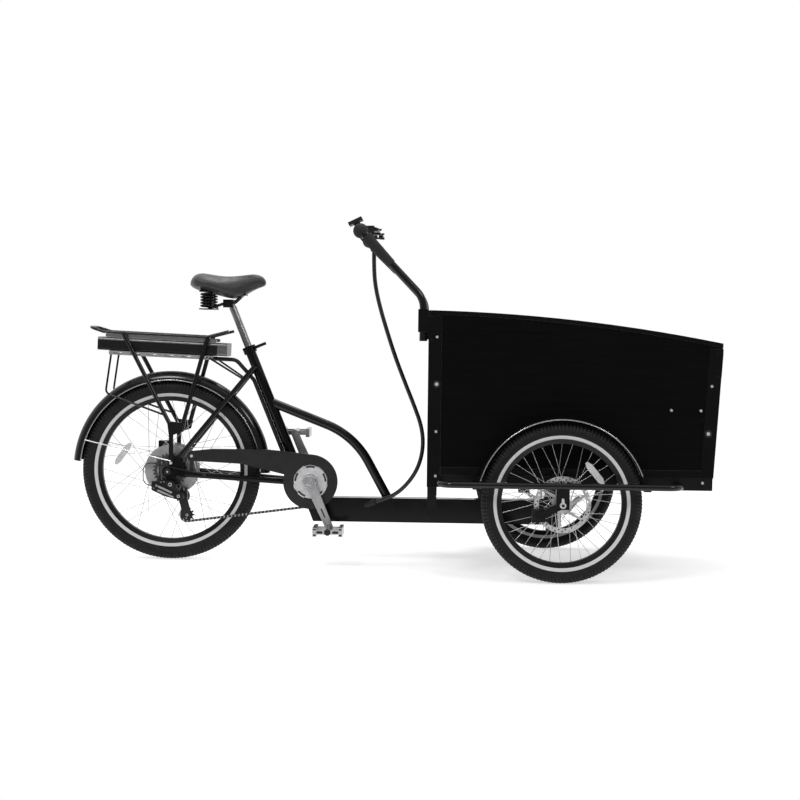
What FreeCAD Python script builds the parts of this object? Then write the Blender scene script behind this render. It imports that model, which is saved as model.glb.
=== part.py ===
import FreeCAD, Part
import math
import os

V = FreeCAD.Vector
AXLE_LINE = V(0, 1, 0)
UP = V(0, 0, 1)

# Layout, in millimetres: X runs forward from the rear axle, Y to the left, Z up from the ground
wheelbase = 1317.0
track = 748.0
cut_overrun = 4.0
running_clearance = 0.05
side_gap = 0.4

# Tyres and rims
rear_tyre_radius = 310.0
front_tyre_radius = 257.5
rear_rim_radius = 254.0
front_rim_radius = 206.0
tyre_width = 54.0
tyre_wall = 5.0
rim_depth = 15.0
rim_wall = 3.0
rim_seat_width = 30.0
rim_inner_width = 18.0

# Spokes
spokes_per_flange = 18
spoke_radius = 0.9
spoke_bite = 2.0
spoke_offset_at_hub = 2.0
spoke_offset_at_rim = 1.3
spoke_middle_at_rim = 2.3
motor_spoke_lead = 40.0
hub_spoke_lead = 60.0

# Axles
axle_radius = 6.0
axle_collar_radius = 9.0
axle_end = 4.0
nut_radius = 10.0
nut_height = 8.0

# Front hubs, between an inner and an outer axle plate
front_hub_spacing = 110.0
front_hub_width = 92.0
front_hub_shell_radius = 17.0
front_flange_radius = 29.0
front_flange_half_spacing = 29.0
flange_thickness = 4.0
front_rotor_offset = 41.0
rotor_boss_radius = 23.0

# Brake rotors
rotor_radius = 90.0
rotor_band = 15.0
rotor_thickness = 2.0
rotor_hub_radius = 27.0
rotor_arms = 6
rotor_arm_width = 8.0
rotor_lead = 24.0
rotor_holes = 24
rotor_hole_radius = 2.6
rotor_hole_rows = (0.3, 0.7)
caliper_size = 42.0
caliper_slot = 4.0
caliper_depth = 26.0
front_caliper_angle = 205.0
caliper_tongue_radius = 11.0
caliper_bracket_gap = 5.0

# Rear hub motor and dropouts
dropout_spacing = 135.0
dropout_thickness = 6.0
motor_radius = 80.0
motor_flange_radius = 88.0
motor_flange_half_spacing = 26.0
motor_half_width = 34.0
motor_cover_step = 8.0
rear_rotor_offset = 46.0
freewheel_boss_radius = 16.0
freewheel_end = 60.5

# Chain drive
chain_pitch = 12.7
chain_plane = -50.0
chain_plate_height = 8.0
chain_plate_thickness = 1.0
chain_inner_width = 3.0
roller_radius = 3.6
roller_margin = 42.0
tooth_height = 3.5
tooth_root = 3.6
tooth_tip_share = 0.22
tooth_foot_share = 0.66
sprocket_thickness = 2.0
sprocket_step = 4.0
sprocket_teeth = (28, 24, 22, 20, 18, 16, 14)
driven_teeth = 18
freewheel_core_radius = 20.0
chainring_teeth = 42
pulley_teeth = 11
pulley_boss_radius = 8.0
pulley_boss_width = 6.0
pulley_pin_radius = 2.5
guide_pulley_drop = 84.0
guide_pulley_reach = 45.0
tension_pulley_drop = 66.0
tension_pulley_reach = 18.0

# Bottom bracket, crank and pedals
bracket_x = 487.0
bracket_z = 281.0
bracket_shell_radius = 21.0
bracket_shell_length = 68.0
bracket_cup_length = 14.0
spindle_radius = 8.0
cup_outer_radius = 17.5
cup_flange_radius = 20.0
cup_flange = 2.5
crank_length = 170.0
crank_turn = -66.0
crank_inner_face = 77.0
crank_thickness = 13.0
crank_boss_radius = 18.0
crank_end_radius = 12.5
ring_inner_radius = 68.0
ring_arm_width = 16.0
ring_arms = 5
ring_boss_radius = 24.0
ring_disc_radius = 57.5
ring_disc_thickness = 2.0
ring_disc_offset = 11.0
pedal_axle_radius = 6.5
pedal_barrel_radius = 11.0
pedal_gap = 6.0
pedal_width = 96.0
pedal_length = 100.0
pedal_height = 30.0
pedal_bar = 13.0
pedal_cap = 9.0

# Main beam, head tube and kingpin
beam_width = 50.0
beam_bottom = 141.0
beam_height = 83.0
beam_wall = 3.0
beam_tail_back = 26.0
beam_tail_slant = 33.0
head_tube_radius = 31.0
head_tube_rise = 14.0
head_tube_drop = 8.0
bush_outer_radius = 21.0
bush_length = 22.0
bush_flange_radius = 27.0
bush_flange = 2.5
kingpin_radius = 15.0
kingpin_collar_radius = 27.0
kingpin_end = 14.0
kingpin_nut_radius = 22.0

# Seat tube and the plates that join it to the bracket shell and the beam
seat_angle = 67.7
seat_tube_setback = 35.7
seat_tube_radius = 17.5
seat_tube_length = 491.0
seat_tube_foot = 20.0
seat_post_radius = 12.7
seat_post_wall = 2.2
seat_post_inserted = 190.0
bracket_plate_width = 40.0

# Step-through tube
step_tube_radius = 15.9
step_tube_wall = 2.0
step_tube_start = 201.0
step_tube_slope = 21.3
step_tube_foot_reach = 261.5
step_tube_foot_slope = 61.2
step_tube_bend = 280.0

# Stays
chain_stay_radius = 10.5
chain_stay_wall = 2.0
chain_stay_rear_reach = 58.0
chain_stay_rear_rise = -8.0
chain_stay_front_half_spacing = 36.0
chain_stay_front_back = 87.0
chain_stay_front_rise = -3.0
seat_stay_radius = 9.0
seat_stay_rear_reach = 36.0
seat_stay_rear_rise = 48.0
seat_stay_top_drop = 67.0
seat_stay_top_half_spacing = 24.0
bridge_radius = 7.0
dropout_radius = 20.0
dropout_arm = 20.0
hanger_reach = 12.0
hanger_drop = 42.0
hanger_radius = 13.0
eyelet_reach = 11.0
eyelet_rise = 30.0
eyelet_radius = 10.0

# Seat clamp
collar_radius = 23.0
collar_height = 24.0
collar_drop = 4.0
collar_ear_length = 16.0
collar_ear_width = 22.0
lever_barrel_radius = 6.0
lever_length = 36.0
lever_width = 10.0
lever_thickness = 6.0
lever_pin_radius = 2.5
lever_stem = 7.0
lever_stem_radius = 2.0

# Saddle
saddle_rear_x = 62.0
saddle_length = 269.0
saddle_top_z = 993.0
saddle_half_width = 104.0
saddle_depth = 82.0
saddle_draw_share = 0.14
saddle_crown_share = 0.22
base_thickness = 6.0
base_inset = 12.0
nose_bracket_drop = 76.0
rail_bend = 22.0
saddle_clamp_setback = 12.0
post_top_drop = 118.01536
spring_top_drop = 69.0
spring_lug_length = 5.0
# Shares of the saddle's length, half width, top and bottom at each cross-section
saddle_section_shares = (
    (0.007, 0.42, 0.67, 0.43), (0.052, 0.75, 0.915, 0.33), (0.141, 0.95, 1.0, 0.293), (0.29, 1.0, 0.9, 0.22),
    (0.442, 0.86, 0.817, 0.085), (0.576, 0.62, 0.83, 0.0), (0.717, 0.4, 0.915, 0.19), (0.866, 0.28, 0.975,
                                                                                       0.44),
    (0.95, 0.22, 0.9, 0.52), (0.99, 0.12, 0.74, 0.56),
)
rail_radius = 3.5
rail_half_spacing = 22.0
rail_drop = 107.0
rail_front_share = 0.68
saddle_clamp_length = 34.0
saddle_clamp_height = 27.0
saddle_clamp_width = 58.0
spring_wire_radius = 3.2
spring_radius = 19.5
spring_turns = 5
spring_samples = 12
arcs_per_turn = 8
spring_half_spacing = 50.0
spring_x_share = 0.24
spring_height = 56.0
spring_plate = 4.0
spring_end_run = 5.6
spring_lug_radius = 4.0

# Rear rack, battery and tray, all tilted nose down
rack_tilt = 2.4
rack_z = 775.5
rack_rail_radius = 5.0
rack_half_width = 62.0
rack_front = 128.0
rack_front_tip = 204.0
rack_tip_rise = 23.5
rack_rear = 225.0
rack_rear_tip = 274.0
rack_rear_rise = 13.0
rack_bend = 20.0
rack_corner_bend = 34.0
rack_cross_shares = (0.1, 0.45, 0.85)
rack_cross_radius = 4.0
battery_front = 199.0
battery_rear = 246.0
battery_half_width = 52.0
battery_top_drop = 18.0
battery_height = 45.0
battery_cap_length = 34.0
battery_corner = 9.0
tray_thickness = 13.5
tray_half_width = 57.0
tray_tab_radius = 6.0
tray_front = 150.0
tray_rear = 205.0
tray_slots = 6
tray_slot_middle_share = 0.5
tray_slot_length = 30.0
tray_slot_height = 5.0
strut_radius = 7.5
strut_rear_top = 158.0
strut_front_top = 132.0
strut_foot_rise = 166.0
strut_foot_reach = 4.0
strut_front_foot_reach = 46.0
strut_front_foot_rise = 146.0
leg_width = 15.0
leg_thickness = 5.0
strut_plate_height = 46.0
loop_radius = 3.5
loop_top_reach = 196.0
loop_low_reach = 218.0
loop_low_drop = 200.0
loop_bend = 18.0
loop_foot_share = 0.915
brace_radius = 3.5
brace_share = 0.85
brace_setback = 10.0

# Mudguards
mudguard_half_width = 33.0
rear_mudguard_crown = 30.0
front_mudguard_crown = 6.0
mudguard_wall = 2.0
rear_mudguard_radius = 342.0
rear_mudguard_front_angle = -1.0
rear_mudguard_rear_angle = 175.0
front_mudguard_radius = 275.0
front_mudguard_front_angle = 20.0
front_mudguard_rear_angle = 165.0
mudguard_tab_turn = 2.0
guard_stay_radius = 2.0
guard_stay_angle = 161.0
rear_caliper_angle = 113.5

# Chain guard
guard_inner_face = 66.0
guard_wall = 2.0
guard_lip = 11.0
guard_disc_radius = 93.0
guard_opening_radius = 58.5
guard_tip_reach = 80.0
guard_tip_rise = 54.0
guard_tip_radius = 17.0
guard_top_rise = 79.0
guard_top_start = 150.0
guard_top_end = 345.0
guard_low_reach = 255.0
guard_low_rise = 29.0
guard_bracket = 14.0
guard_bracket_rise = 93.0
guard_bracket_half_share = 0.33
guard_disc_top_angle = 83.0
guard_disc_low_angle = 165.0
guard_tip_top_angle = 108.0
guard_tip_low_angle = 267.0

# Derailleur
derailleur_knuckle_radius = 12.0
derailleur_knuckle_depth = 22.0
derailleur_body_back = 64.0
derailleur_body_height = 40.0
derailleur_body_depth = 14.0
cage_half_gap = 4.0
cage_wall = 2.0
cage_end_radius = 14.0

# Rear gear cable and battery loom
gear_cable_radius = 1.6
loom_radius = 7.0
loom_bend = 34.0
loom_reach = 75.0
loom_join = 110.0
loom_end = 62.0
plug_length = 24.0
plug_radius = 10.0
gear_stop_reach = 60.0
gear_stop_rise = 6.0
gear_stop_length = 14.0
gear_stop_radius = 5.0
gear_loop_reach = 82.0
gear_loop_bend = 26.0
gear_loop_rise = 42.0
gear_entry_share = 0.125

# Underframe of the front unit
rail_height = 40.0
rail_width = 30.0
rail_wall = 3.0
rail_bottom = 297.0
box_rear_x = 888.0
box_front_x = 1806.0
cross_member_reach = 95.0
pivot_plate_thickness = 8.0
pivot_plate_width = 150.0
axle_plate_thickness = 6.0
axle_plate_width = 42.0
axle_plate_drop = 14.0
stop_width = 30.0
stop_length = 95.0

# Cargo box
panel_thickness = 15.0
floor_thickness = 12.0
batten_width = 20.0
batten_height = 25.0
floor_gap = 1.0
box_rear_top_z = 866.0
box_middle_top_z = 839.0
panel_gap = 1.0
strip_setback = 16.0
box_front_top_z = 770.0
box_lean = 25.0
strip_thickness = 2.0
strip_width = 41.0
bottom_strip_height = 25.0
trim_depth = 12.0
trim_rise = 2.0
trim_wall = 2.0
corner_plate_height = 78.0
corner_plate_width = 20.0
corner_plate_thickness = 3.0
front_plate_drop = 28.0
bolt_radius = 5.0
bolt_height = 3.5
bolt_dome_share = 0.7
washered_head_share = 1.3
washer_radius = 9.0
washer_thickness = 1.5
bolt_inset = 26.0
rear_bolt_shares = (0.062, 0.316, 0.585, 0.852)
front_bolt_shares = (0.333, 0.686)
washered_rear_bolt = 2
washered_front_bolt = 0
rail_bolt_setback = 32.0
bench_bolt_rise = 258.0
bench_bolt_setbacks = (149.0, 54.5)

# Wheel side bars and front mudguard brackets
side_bar_radius = 10.0
side_bar_wall = 2.0
side_bar_rear = 929.0
side_bar_front = 1691.0
side_bar_bend = 42.0
bracket_strip_width = 22.0
bracket_strip_thickness = 4.0

# Handlebar
bar_radius = 12.7
bar_wall = 2.0
bar_clear = 17.0
bar_foot_z = 768.0
bar_elbow_z = 905.0
bar_top_x = 655.0
bar_top_z = 1129.0
bar_elbow_bend = 80.0
bar_corner_bend = 36.0
clamp_bottom_z = 797.0
clamp_height = 74.0
clamp_half_width = 17.0
grip_radius = 17.0
grip_length = 150.0
grip_end_radius = 24.5
sleeve_length = 158.0
sleeve_top_radius = 19.5
sleeve_foot_radius = 14.6

# Controls on the handlebar
perch_y = 118.0
perch_width = 24.0
perch_radius = 19.0
perch_reach = 56.0
perch_height = 20.0
lever_pivot_radius = 4.0
lever_boss_radius = 8.0
lever_blade_length = 128.0
lever_blade_width = 14.0
lever_blade_thickness = 9.0
lever_tip_radius = 8.0
shifter_y = 78.0
shifter_radius = 16.0
shifter_height = 18.0
shifter_top = 18.0
shifter_reach = 34.0
shift_lever_length = 36.0
shift_lever_width = 11.0
shift_lever_thickness = 5.0
display_length = 50.0
display_width = 74.0
display_thickness = 12.0
display_tilt = 26.0
display_back = 26.0
display_rise = 42.0
display_clamp_radius = 17.0
display_clamp_width = 14.0
display_stalk_width = 26.0

# Cable bundle between the handlebar and the beam, points as (x, y, z)
bundle_radius = 7.0
bundle_bend_share = 0.45
bundle_route = (
    (698, -105, 1064), (698, -104, 1012), (703, -101, 950), (719, -97, 880), (746, -92, 791), (774, -86, 707),
    (807, -80, 623), (839, -74, 545), (863, -70, 480), (871, -68, 422), (864, -68, 364), (842, -68, 311),
    (809, -66, 269), (776, -59, 241), (742, -47, 225), (710, -33, 212),
)
gland_radius = 11.0
gland_length = 40.0
bundle_clip_radius = 11.0
bundle_clip_length = 14.0
control_cable_radius = 2.5
far_cable_run = 70.0
far_cable_bend = 40.0

# Places that several pieces share
driven_place = sprocket_teeth.index(driven_teeth)
tray_bottom = -battery_top_drop - battery_height - side_gap - tray_thickness
rear_axle_z = rear_tyre_radius
front_axle_z = front_tyre_radius
wheel_y = track / 2
axle_plate_inner = wheel_y - front_hub_spacing / 2
axle_plate_outer = wheel_y + front_hub_spacing / 2
box_half_width = axle_plate_inner - axle_plate_thickness
rail_top = rail_bottom + rail_height
beam_top = beam_bottom + beam_height
dropout_face = dropout_spacing / 2
side_bar_y = axle_plate_outer + axle_plate_thickness / 2
side_bar_z = rail_bottom + rail_height / 2
bar_x = box_rear_x - strip_thickness - bar_clear
bar_half_width = box_half_width + strip_thickness - clamp_half_width
bracket = V(bracket_x, 0, bracket_z)
rear_axle = V(0, 0, rear_axle_z)
seat_up = V(-math.cos(math.radians(seat_angle)), 0, math.sin(math.radians(seat_angle)))
seat_forward = AXLE_LINE.cross(seat_up)
seat_tube_base = bracket - V(seat_tube_setback, 0, 0)
seat_tube_top = seat_tube_base + seat_up * seat_tube_length
seat_post_shown = (saddle_top_z - post_top_drop - seat_tube_top.z) / seat_up.z
saddle_post_top = seat_tube_top + seat_up * seat_post_shown
saddle_clamp_x = saddle_post_top.x - saddle_clamp_setback
rail_z = saddle_top_z - rail_drop
nose_bracket_z = saddle_top_z - nose_bracket_drop
spring_top_z = saddle_top_z - spring_top_drop
spring_foot_z = spring_top_z - spring_height
guide_pulley_centre = rear_axle + V(guide_pulley_reach, chain_plane, -guide_pulley_drop)
tension_pulley_centre = guide_pulley_centre + V(tension_pulley_reach, 0, -tension_pulley_drop)


def pitch_radius(teeth):
    return chain_pitch / (2 * math.sin(math.pi / teeth))


def rod(start, end, radius):
    return Part.makeCylinder(radius, (end - start).Length, start, end - start)


def tube(start, end, radius, wall):
    along = (end - start).normalize()
    bore = rod(start - along * cut_overrun, end + along * cut_overrun, radius - wall)
    return rod(start, end, radius).cut(bore)


def block(low, high):
    size = high - low
    return Part.makeBox(size.x, size.y, size.z, low)


def disc(centre, radius, start_y, end_y):
    return rod(V(centre.x, start_y, centre.z), V(centre.x, end_y, centre.z), radius)


def prism(points, start_y, end_y):
    """An upright plate: an outline of (x, z) points, from one Y to another."""
    corners = [V(x, start_y, z) for x, z in points]
    face = Part.Face(Part.makePolygon(corners + corners[:1]))
    return face.extrude(V(0, end_y - start_y, 0))


def bent_path(points, bends):
    """Straight runs joined by tangent arcs, with one bend radius for each inner point."""
    edges = []
    start = points[0]
    for before, corner, after, bend in zip(points, points[1:], points[2:], bends):
        back = (before - corner).normalize()
        ahead = (after - corner).normalize()
        half = back.getAngle(ahead) / 2
        first = corner + back * (bend / math.tan(half))
        last = corner + ahead * (bend / math.tan(half))
        inward = (back + ahead).normalize()
        middle = corner + inward * (bend / math.sin(half) - bend)
        edges.append(Part.LineSegment(start, first).toShape())
        edges.append(Part.Arc(first, middle, last).toShape())
        start = last
    edges.append(Part.LineSegment(start, points[-1]).toShape())
    return Part.Wire(edges)


def pipe(path, radius):
    first = path.OrderedEdges[0]
    ring = Part.makeCircle(radius, first.valueAt(first.FirstParameter), first.tangentAt(first.FirstParameter))
    return path.makePipeShell([Part.Wire(ring)], True, False)


def bent_tube(points, bends, radius, wall):
    path = bent_path(points, bends)
    return pipe(path, radius).cut(pipe(path, radius - wall))


def bent_rod(points, bends, radius):
    return pipe(bent_path(points, bends), radius)


def mirrored(shape):
    return shape.mirror(V(0, 0, 0), AXLE_LINE)


def both_sides(shapes):
    return shapes + [mirrored(shape) for shape in shapes]


def joined(shapes):
    return shapes[0].fuse(shapes[1:]).removeSplitter()


def ring(centre, outer, inner, start_y, end_y):
    bore = disc(centre, inner, start_y - cut_overrun, end_y + cut_overrun)
    return disc(centre, outer, start_y, end_y).cut(bore)


def polar(centre, radius, degrees, y):
    angle = math.radians(degrees)
    return V(centre.x + radius * math.cos(angle), y, centre.z + radius * math.sin(angle))


def turned(edges, centre, sweep):
    face = Part.Face(Part.Wire(edges))
    return face.revolve(centre, AXLE_LINE, sweep)


def lines(points):
    return [Part.LineSegment(a, b).toShape() for a, b in zip(points, points[1:])]


# Wheels, built about their own centre with the inner or left side towards +Y

def tyre(radius, seat_radius):
    half = tyre_width / 2
    seat = rim_seat_width / 2
    inner_half = half - tyre_wall
    outer_right = V(radius - half, half, 0)
    outer_left = V(radius - half, -half, 0)
    inner_right = V(radius - half, inner_half, 0)
    inner_left = V(radius - half, -inner_half, 0)
    bead_right = V(seat_radius, seat, 0)
    bead_left = V(seat_radius, -seat, 0)
    lip_right = V(seat_radius, seat - tyre_wall, 0)
    lip_left = V(seat_radius, tyre_wall - seat, 0)
    edges = [
        Part.LineSegment(bead_right, outer_right).toShape(),
        Part.Arc(outer_right, V(radius, 0, 0), outer_left).toShape(),
        Part.LineSegment(outer_left, bead_left).toShape(),
        Part.LineSegment(bead_left, lip_left).toShape(),
        Part.LineSegment(lip_left, inner_left).toShape(),
        Part.Arc(inner_left, V(radius - tyre_wall, 0, 0), inner_right).toShape(),
        Part.LineSegment(inner_right, lip_right).toShape(),
        Part.LineSegment(lip_right, bead_right).toShape(),
    ]
    return turned(edges, V(0, 0, 0), 360)


def rim(seat_radius):
    seat = rim_seat_width / 2
    foot = rim_inner_width / 2
    floor_radius = seat_radius - rim_depth
    points = [
        V(seat_radius, seat, 0), V(floor_radius, foot, 0), V(floor_radius, -foot, 0), V(seat_radius, -seat,
                                                                                        0),
        V(seat_radius, rim_wall - seat, 0), V(floor_radius + rim_wall, rim_wall - foot, 0),
        V(floor_radius + rim_wall, foot - rim_wall, 0), V(seat_radius, seat - rim_wall, 0),
    ]
    return turned(lines(points + points[:1]), V(0, 0, 0), 360)


def spokes(hub_radius, flange_half_spacing, rim_radius, lead):
    """Crossed spokes: those that lead lie outside those that trail, so none touch."""
    step = 360 / spokes_per_flange
    result = []
    for side in (1, -1):
        shift = 0 if side > 0 else step / 2
        for number in range(spokes_per_flange):
            way = 1 if number % 2 == 0 else -1
            angle = number * step + shift
            hub_y = side * (flange_half_spacing + way * spoke_offset_at_hub)
            rim_y = side * (spoke_middle_at_rim + way * spoke_offset_at_rim)
            start = polar(V(0, 0, 0), hub_radius - spoke_bite, angle, hub_y)
            end = polar(V(0, 0, 0), rim_radius - rim_depth + spoke_bite, angle + way * lead, rim_y)
            result.append(rod(start, end, spoke_radius))
    return result


def rotor(offset):
    centre = V(0, 0, 0)
    end = offset + rotor_thickness
    shapes = [
        ring(centre, rotor_radius, rotor_radius - rotor_band, offset, end),
        ring(centre, rotor_hub_radius, front_hub_shell_radius, offset, end),
    ]
    for number in range(rotor_arms):
        angle = number * 360 / rotor_arms
        start = polar(centre, rotor_hub_radius - rotor_arm_width / 2, angle, offset)
        stop = polar(centre, rotor_radius - rotor_band / 2, angle + rotor_lead, offset)
        along = (stop - start).normalize()
        aside = along.cross(AXLE_LINE) * (rotor_arm_width / 2)
        corners = [start + aside, stop + aside, stop - aside, start - aside]
        face = Part.Face(Part.makePolygon(corners + corners[:1]))
        shapes.append(face.extrude(V(0, rotor_thickness, 0)))
    holes = []
    for row, share in enumerate(rotor_hole_rows):
        for number in range(rotor_holes):
            angle = (number + row / len(rotor_hole_rows)) * 360 / rotor_holes
            middle = polar(centre, rotor_radius - rotor_band * share, angle, offset)
            holes.append(disc(middle, rotor_hole_radius, offset - cut_overrun, end + cut_overrun))
    return joined(shapes).cut(holes)


def front_hub():
    centre = V(0, 0, 0)
    half = front_hub_width / 2
    spacing = front_flange_half_spacing
    thick = flange_thickness / 2 + spoke_offset_at_hub
    body = joined([
        disc(centre, front_hub_shell_radius, -half, half),
        disc(centre, front_flange_radius, -spacing - thick, -spacing + thick),
        disc(centre, front_flange_radius, spacing - thick, spacing + thick),
        disc(centre, rotor_boss_radius, spacing, front_rotor_offset),
    ])
    bore = disc(centre, axle_radius + running_clearance, -half - cut_overrun, half + cut_overrun)
    return [body.cut(bore), rotor(front_rotor_offset)]


def hub_motor():
    centre = V(0, 0, 0)
    spacing = motor_flange_half_spacing
    thick = flange_thickness / 2 + spoke_offset_at_hub
    left_end = dropout_face - nut_height
    body = joined([
        disc(centre, motor_radius, -spacing, spacing),
        disc(centre, motor_flange_radius, -spacing - thick, -spacing + thick),
        disc(centre, motor_flange_radius, spacing - thick, spacing + thick),
        disc(centre, motor_radius - motor_cover_step, spacing, motor_half_width),
        disc(centre, rotor_boss_radius, motor_half_width, rear_rotor_offset),
        disc(centre, front_hub_shell_radius, rear_rotor_offset, left_end),
        disc(centre, freewheel_boss_radius, -freewheel_end, -spacing),
    ])
    bore = disc(centre, axle_radius + running_clearance, -freewheel_end - cut_overrun, left_end + cut_overrun)
    return [body.cut(bore), rotor(rear_rotor_offset)]


def rear_wheel():
    return {
        "rear_tyre": [tyre(rear_tyre_radius, rear_rim_radius)],
        "rear_rim": [rim(rear_rim_radius)],
        "rear_spokes": spokes(motor_flange_radius, motor_flange_half_spacing, rear_rim_radius,
                              motor_spoke_lead),
        "rear_hub_motor": hub_motor(),
    }


def front_wheel():
    return {
        "tyre": [tyre(front_tyre_radius, front_rim_radius)],
        "rim": [rim(front_rim_radius)],
        "spokes": spokes(front_flange_radius, front_flange_half_spacing, front_rim_radius, hub_spoke_lead),
        "hub": [mirrored(shape) for shape in front_hub()],
    }


def place(shapes, offset):
    return [shape.translated(offset) for shape in shapes]


def front_axles():
    """Axles with their locknuts and outer nuts, held in the axle plates."""
    centre = V(wheelbase, 0, front_axle_z)
    inner = -axle_plate_inner + axle_plate_thickness
    outer = -axle_plate_outer - axle_plate_thickness
    hub_end = front_hub_width / 2 + side_gap
    shaft = joined([
        disc(centre, axle_radius, outer - nut_height - axle_end, inner),
        disc(centre, axle_collar_radius, -wheel_y + hub_end, -axle_plate_inner),
        disc(centre, axle_collar_radius, -axle_plate_outer, -wheel_y - hub_end),
    ])
    nut = ring(centre, nut_radius, axle_radius, outer - nut_height, outer)
    return both_sides([shaft, nut])


def front_caliper_centre():
    """Middle of the right front caliper, behind and below the axle."""
    return polar(V(wheelbase, 0, front_axle_z), rotor_radius - rotor_band / 2, front_caliper_angle, 0)


def front_calipers():
    """A caliper straddles each front rotor, against the tongue of the outer axle plate."""
    centre = front_caliper_centre()
    half = caliper_size / 2
    outer = -axle_plate_outer
    inner = outer + caliper_depth
    body = block(V(centre.x - half, outer, centre.z - half), V(centre.x + half, inner, centre.z + half))
    rotor_middle = -wheel_y - front_rotor_offset - rotor_thickness / 2
    slot = disc(V(wheelbase, 0, front_axle_z), rotor_radius + caliper_slot / 2,
                rotor_middle - caliper_slot / 2, rotor_middle + caliper_slot / 2)
    return both_sides([body.cut(slot)])


# Rear frame

def main_beam():
    half = beam_width / 2
    tail = bracket_x - beam_tail_back + beam_tail_slant / 2
    slant = beam_tail_slant / 2
    outline = [
        (tail - slant, beam_top), (tail + slant, beam_bottom),
        (wheelbase, beam_bottom), (wheelbase, beam_top),
    ]
    inside = [
        (tail - slant + 2 * beam_wall, beam_top - beam_wall), (tail + slant + beam_wall,
                                                               beam_bottom + beam_wall),
        (wheelbase, beam_bottom + beam_wall), (wheelbase, beam_top - beam_wall),
    ]
    head = rod(V(wheelbase, 0, beam_bottom - head_tube_drop), V(wheelbase, 0, beam_top + head_tube_rise),
               head_tube_radius)
    bore = rod(V(wheelbase, 0, beam_bottom - head_tube_drop - cut_overrun),
               V(wheelbase, 0, beam_top + head_tube_rise + cut_overrun), bush_outer_radius)
    shell = prism(outline, -half, half).cut(prism(inside, -half + beam_wall, half - beam_wall))
    return [shell.cut(head), head.cut(bore)]


def frame_bearings():
    """Flanged bushes in the head tube, and the two cups of the bottom bracket."""
    low = beam_bottom - head_tube_drop
    high = beam_top + head_tube_rise
    shapes = []
    for face, way in ((low, 1), (high, -1)):
        start = V(wheelbase, 0, face)
        sleeve = rod(start, start + UP * (way * bush_length), bush_outer_radius)
        flange = rod(start - UP * (way * bush_flange), start, bush_flange_radius)
        bore = rod(start - UP * (way * (bush_flange + cut_overrun)),
                   start + UP * (way * (bush_length + cut_overrun)),
                   kingpin_radius + running_clearance)
        shapes.append(joined([sleeve, flange]).cut(bore))
    end = bracket_shell_length / 2
    bore = disc(bracket, spindle_radius + running_clearance, -end - cut_overrun - cup_flange,
                -end + bracket_cup_length + cut_overrun)
    cup = joined([
        disc(bracket, cup_outer_radius, -end, -end + bracket_cup_length),
        disc(bracket, cup_flange_radius, -end - cup_flange, -end),
    ]).cut(bore)
    return shapes + both_sides([cup])


def seat_tube():
    """The seat tube, the bottom bracket shell, and the welded plate box that ties both to the beam."""
    foot = seat_tube_base - seat_up * seat_tube_foot
    outside = rod(foot, seat_tube_top, seat_tube_radius)
    bore = rod(seat_tube_base, seat_tube_top + seat_up * cut_overrun, seat_post_radius + running_clearance)
    shell = disc(bracket, bracket_shell_radius, -bracket_shell_length / 2, bracket_shell_length / 2)
    shell_bore = disc(bracket, cup_outer_radius, -bracket_shell_length, bracket_shell_length)
    half = bracket_plate_width / 2
    left = seat_tube_base.x - seat_tube_radius
    top = bracket_z + bracket_shell_radius
    outline = [
        (left, bracket_z - bracket_shell_radius), (bracket_x - beam_tail_back, beam_top),
        (bracket_x + bracket_shell_radius, beam_top), (bracket_x + bracket_shell_radius, bracket_z),
        (bracket_x, top), (left, top),
    ]
    plates = prism(outline, -half, half).cut(outside).cut(shell).cut(shell_bore)
    upright = outside.cut(bore).cut(shell).cut(shell_bore)
    return [max(upright.Solids, key=lambda solid: solid.Volume), shell.cut(shell_bore)] + plates.Solids


def step_tube_points():
    start = seat_tube_base + seat_up * (seat_tube_length - step_tube_start)
    foot = V(bracket_x + step_tube_foot_reach, 0, beam_top)
    slope = math.tan(math.radians(step_tube_slope))
    fall = math.tan(math.radians(step_tube_foot_slope))
    corner_x = (fall * foot.x + foot.z - start.z - slope * start.x) / (fall - slope)
    corner = V(corner_x, 0, start.z - slope * (corner_x - start.x))
    return start, corner, foot


def step_through_tube():
    start, corner, foot = step_tube_points()
    below = foot + (foot - corner).normalize() * (2 * step_tube_radius)
    body = bent_tube([start, corner, below], [step_tube_bend], step_tube_radius, step_tube_wall)
    seat_cut = rod(seat_tube_base, seat_tube_top, seat_tube_radius)
    half = beam_width / 2
    beam_cut = block(V(bracket_x, -half, beam_bottom), V(wheelbase, half, beam_top))
    return [max(body.cut(seat_cut).cut(beam_cut).Solids, key=lambda solid: solid.Volume)]


def chain_stay_ends():
    front_x = bracket_x - chain_stay_front_back
    rear = V(chain_stay_rear_reach, -dropout_face - side_gap, rear_axle_z + chain_stay_rear_rise)
    front = V(front_x, -chain_stay_front_half_spacing, bracket_z + chain_stay_front_rise)
    return rear, front


def seat_stay_ends():
    inset = dropout_thickness - seat_stay_radius - side_gap / 2
    rear = V(seat_stay_rear_reach, -dropout_face - inset, rear_axle_z + seat_stay_rear_rise)
    top = seat_tube_top - seat_up * seat_stay_top_drop
    return rear, V(top.x, -seat_stay_top_half_spacing, top.z)


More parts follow.
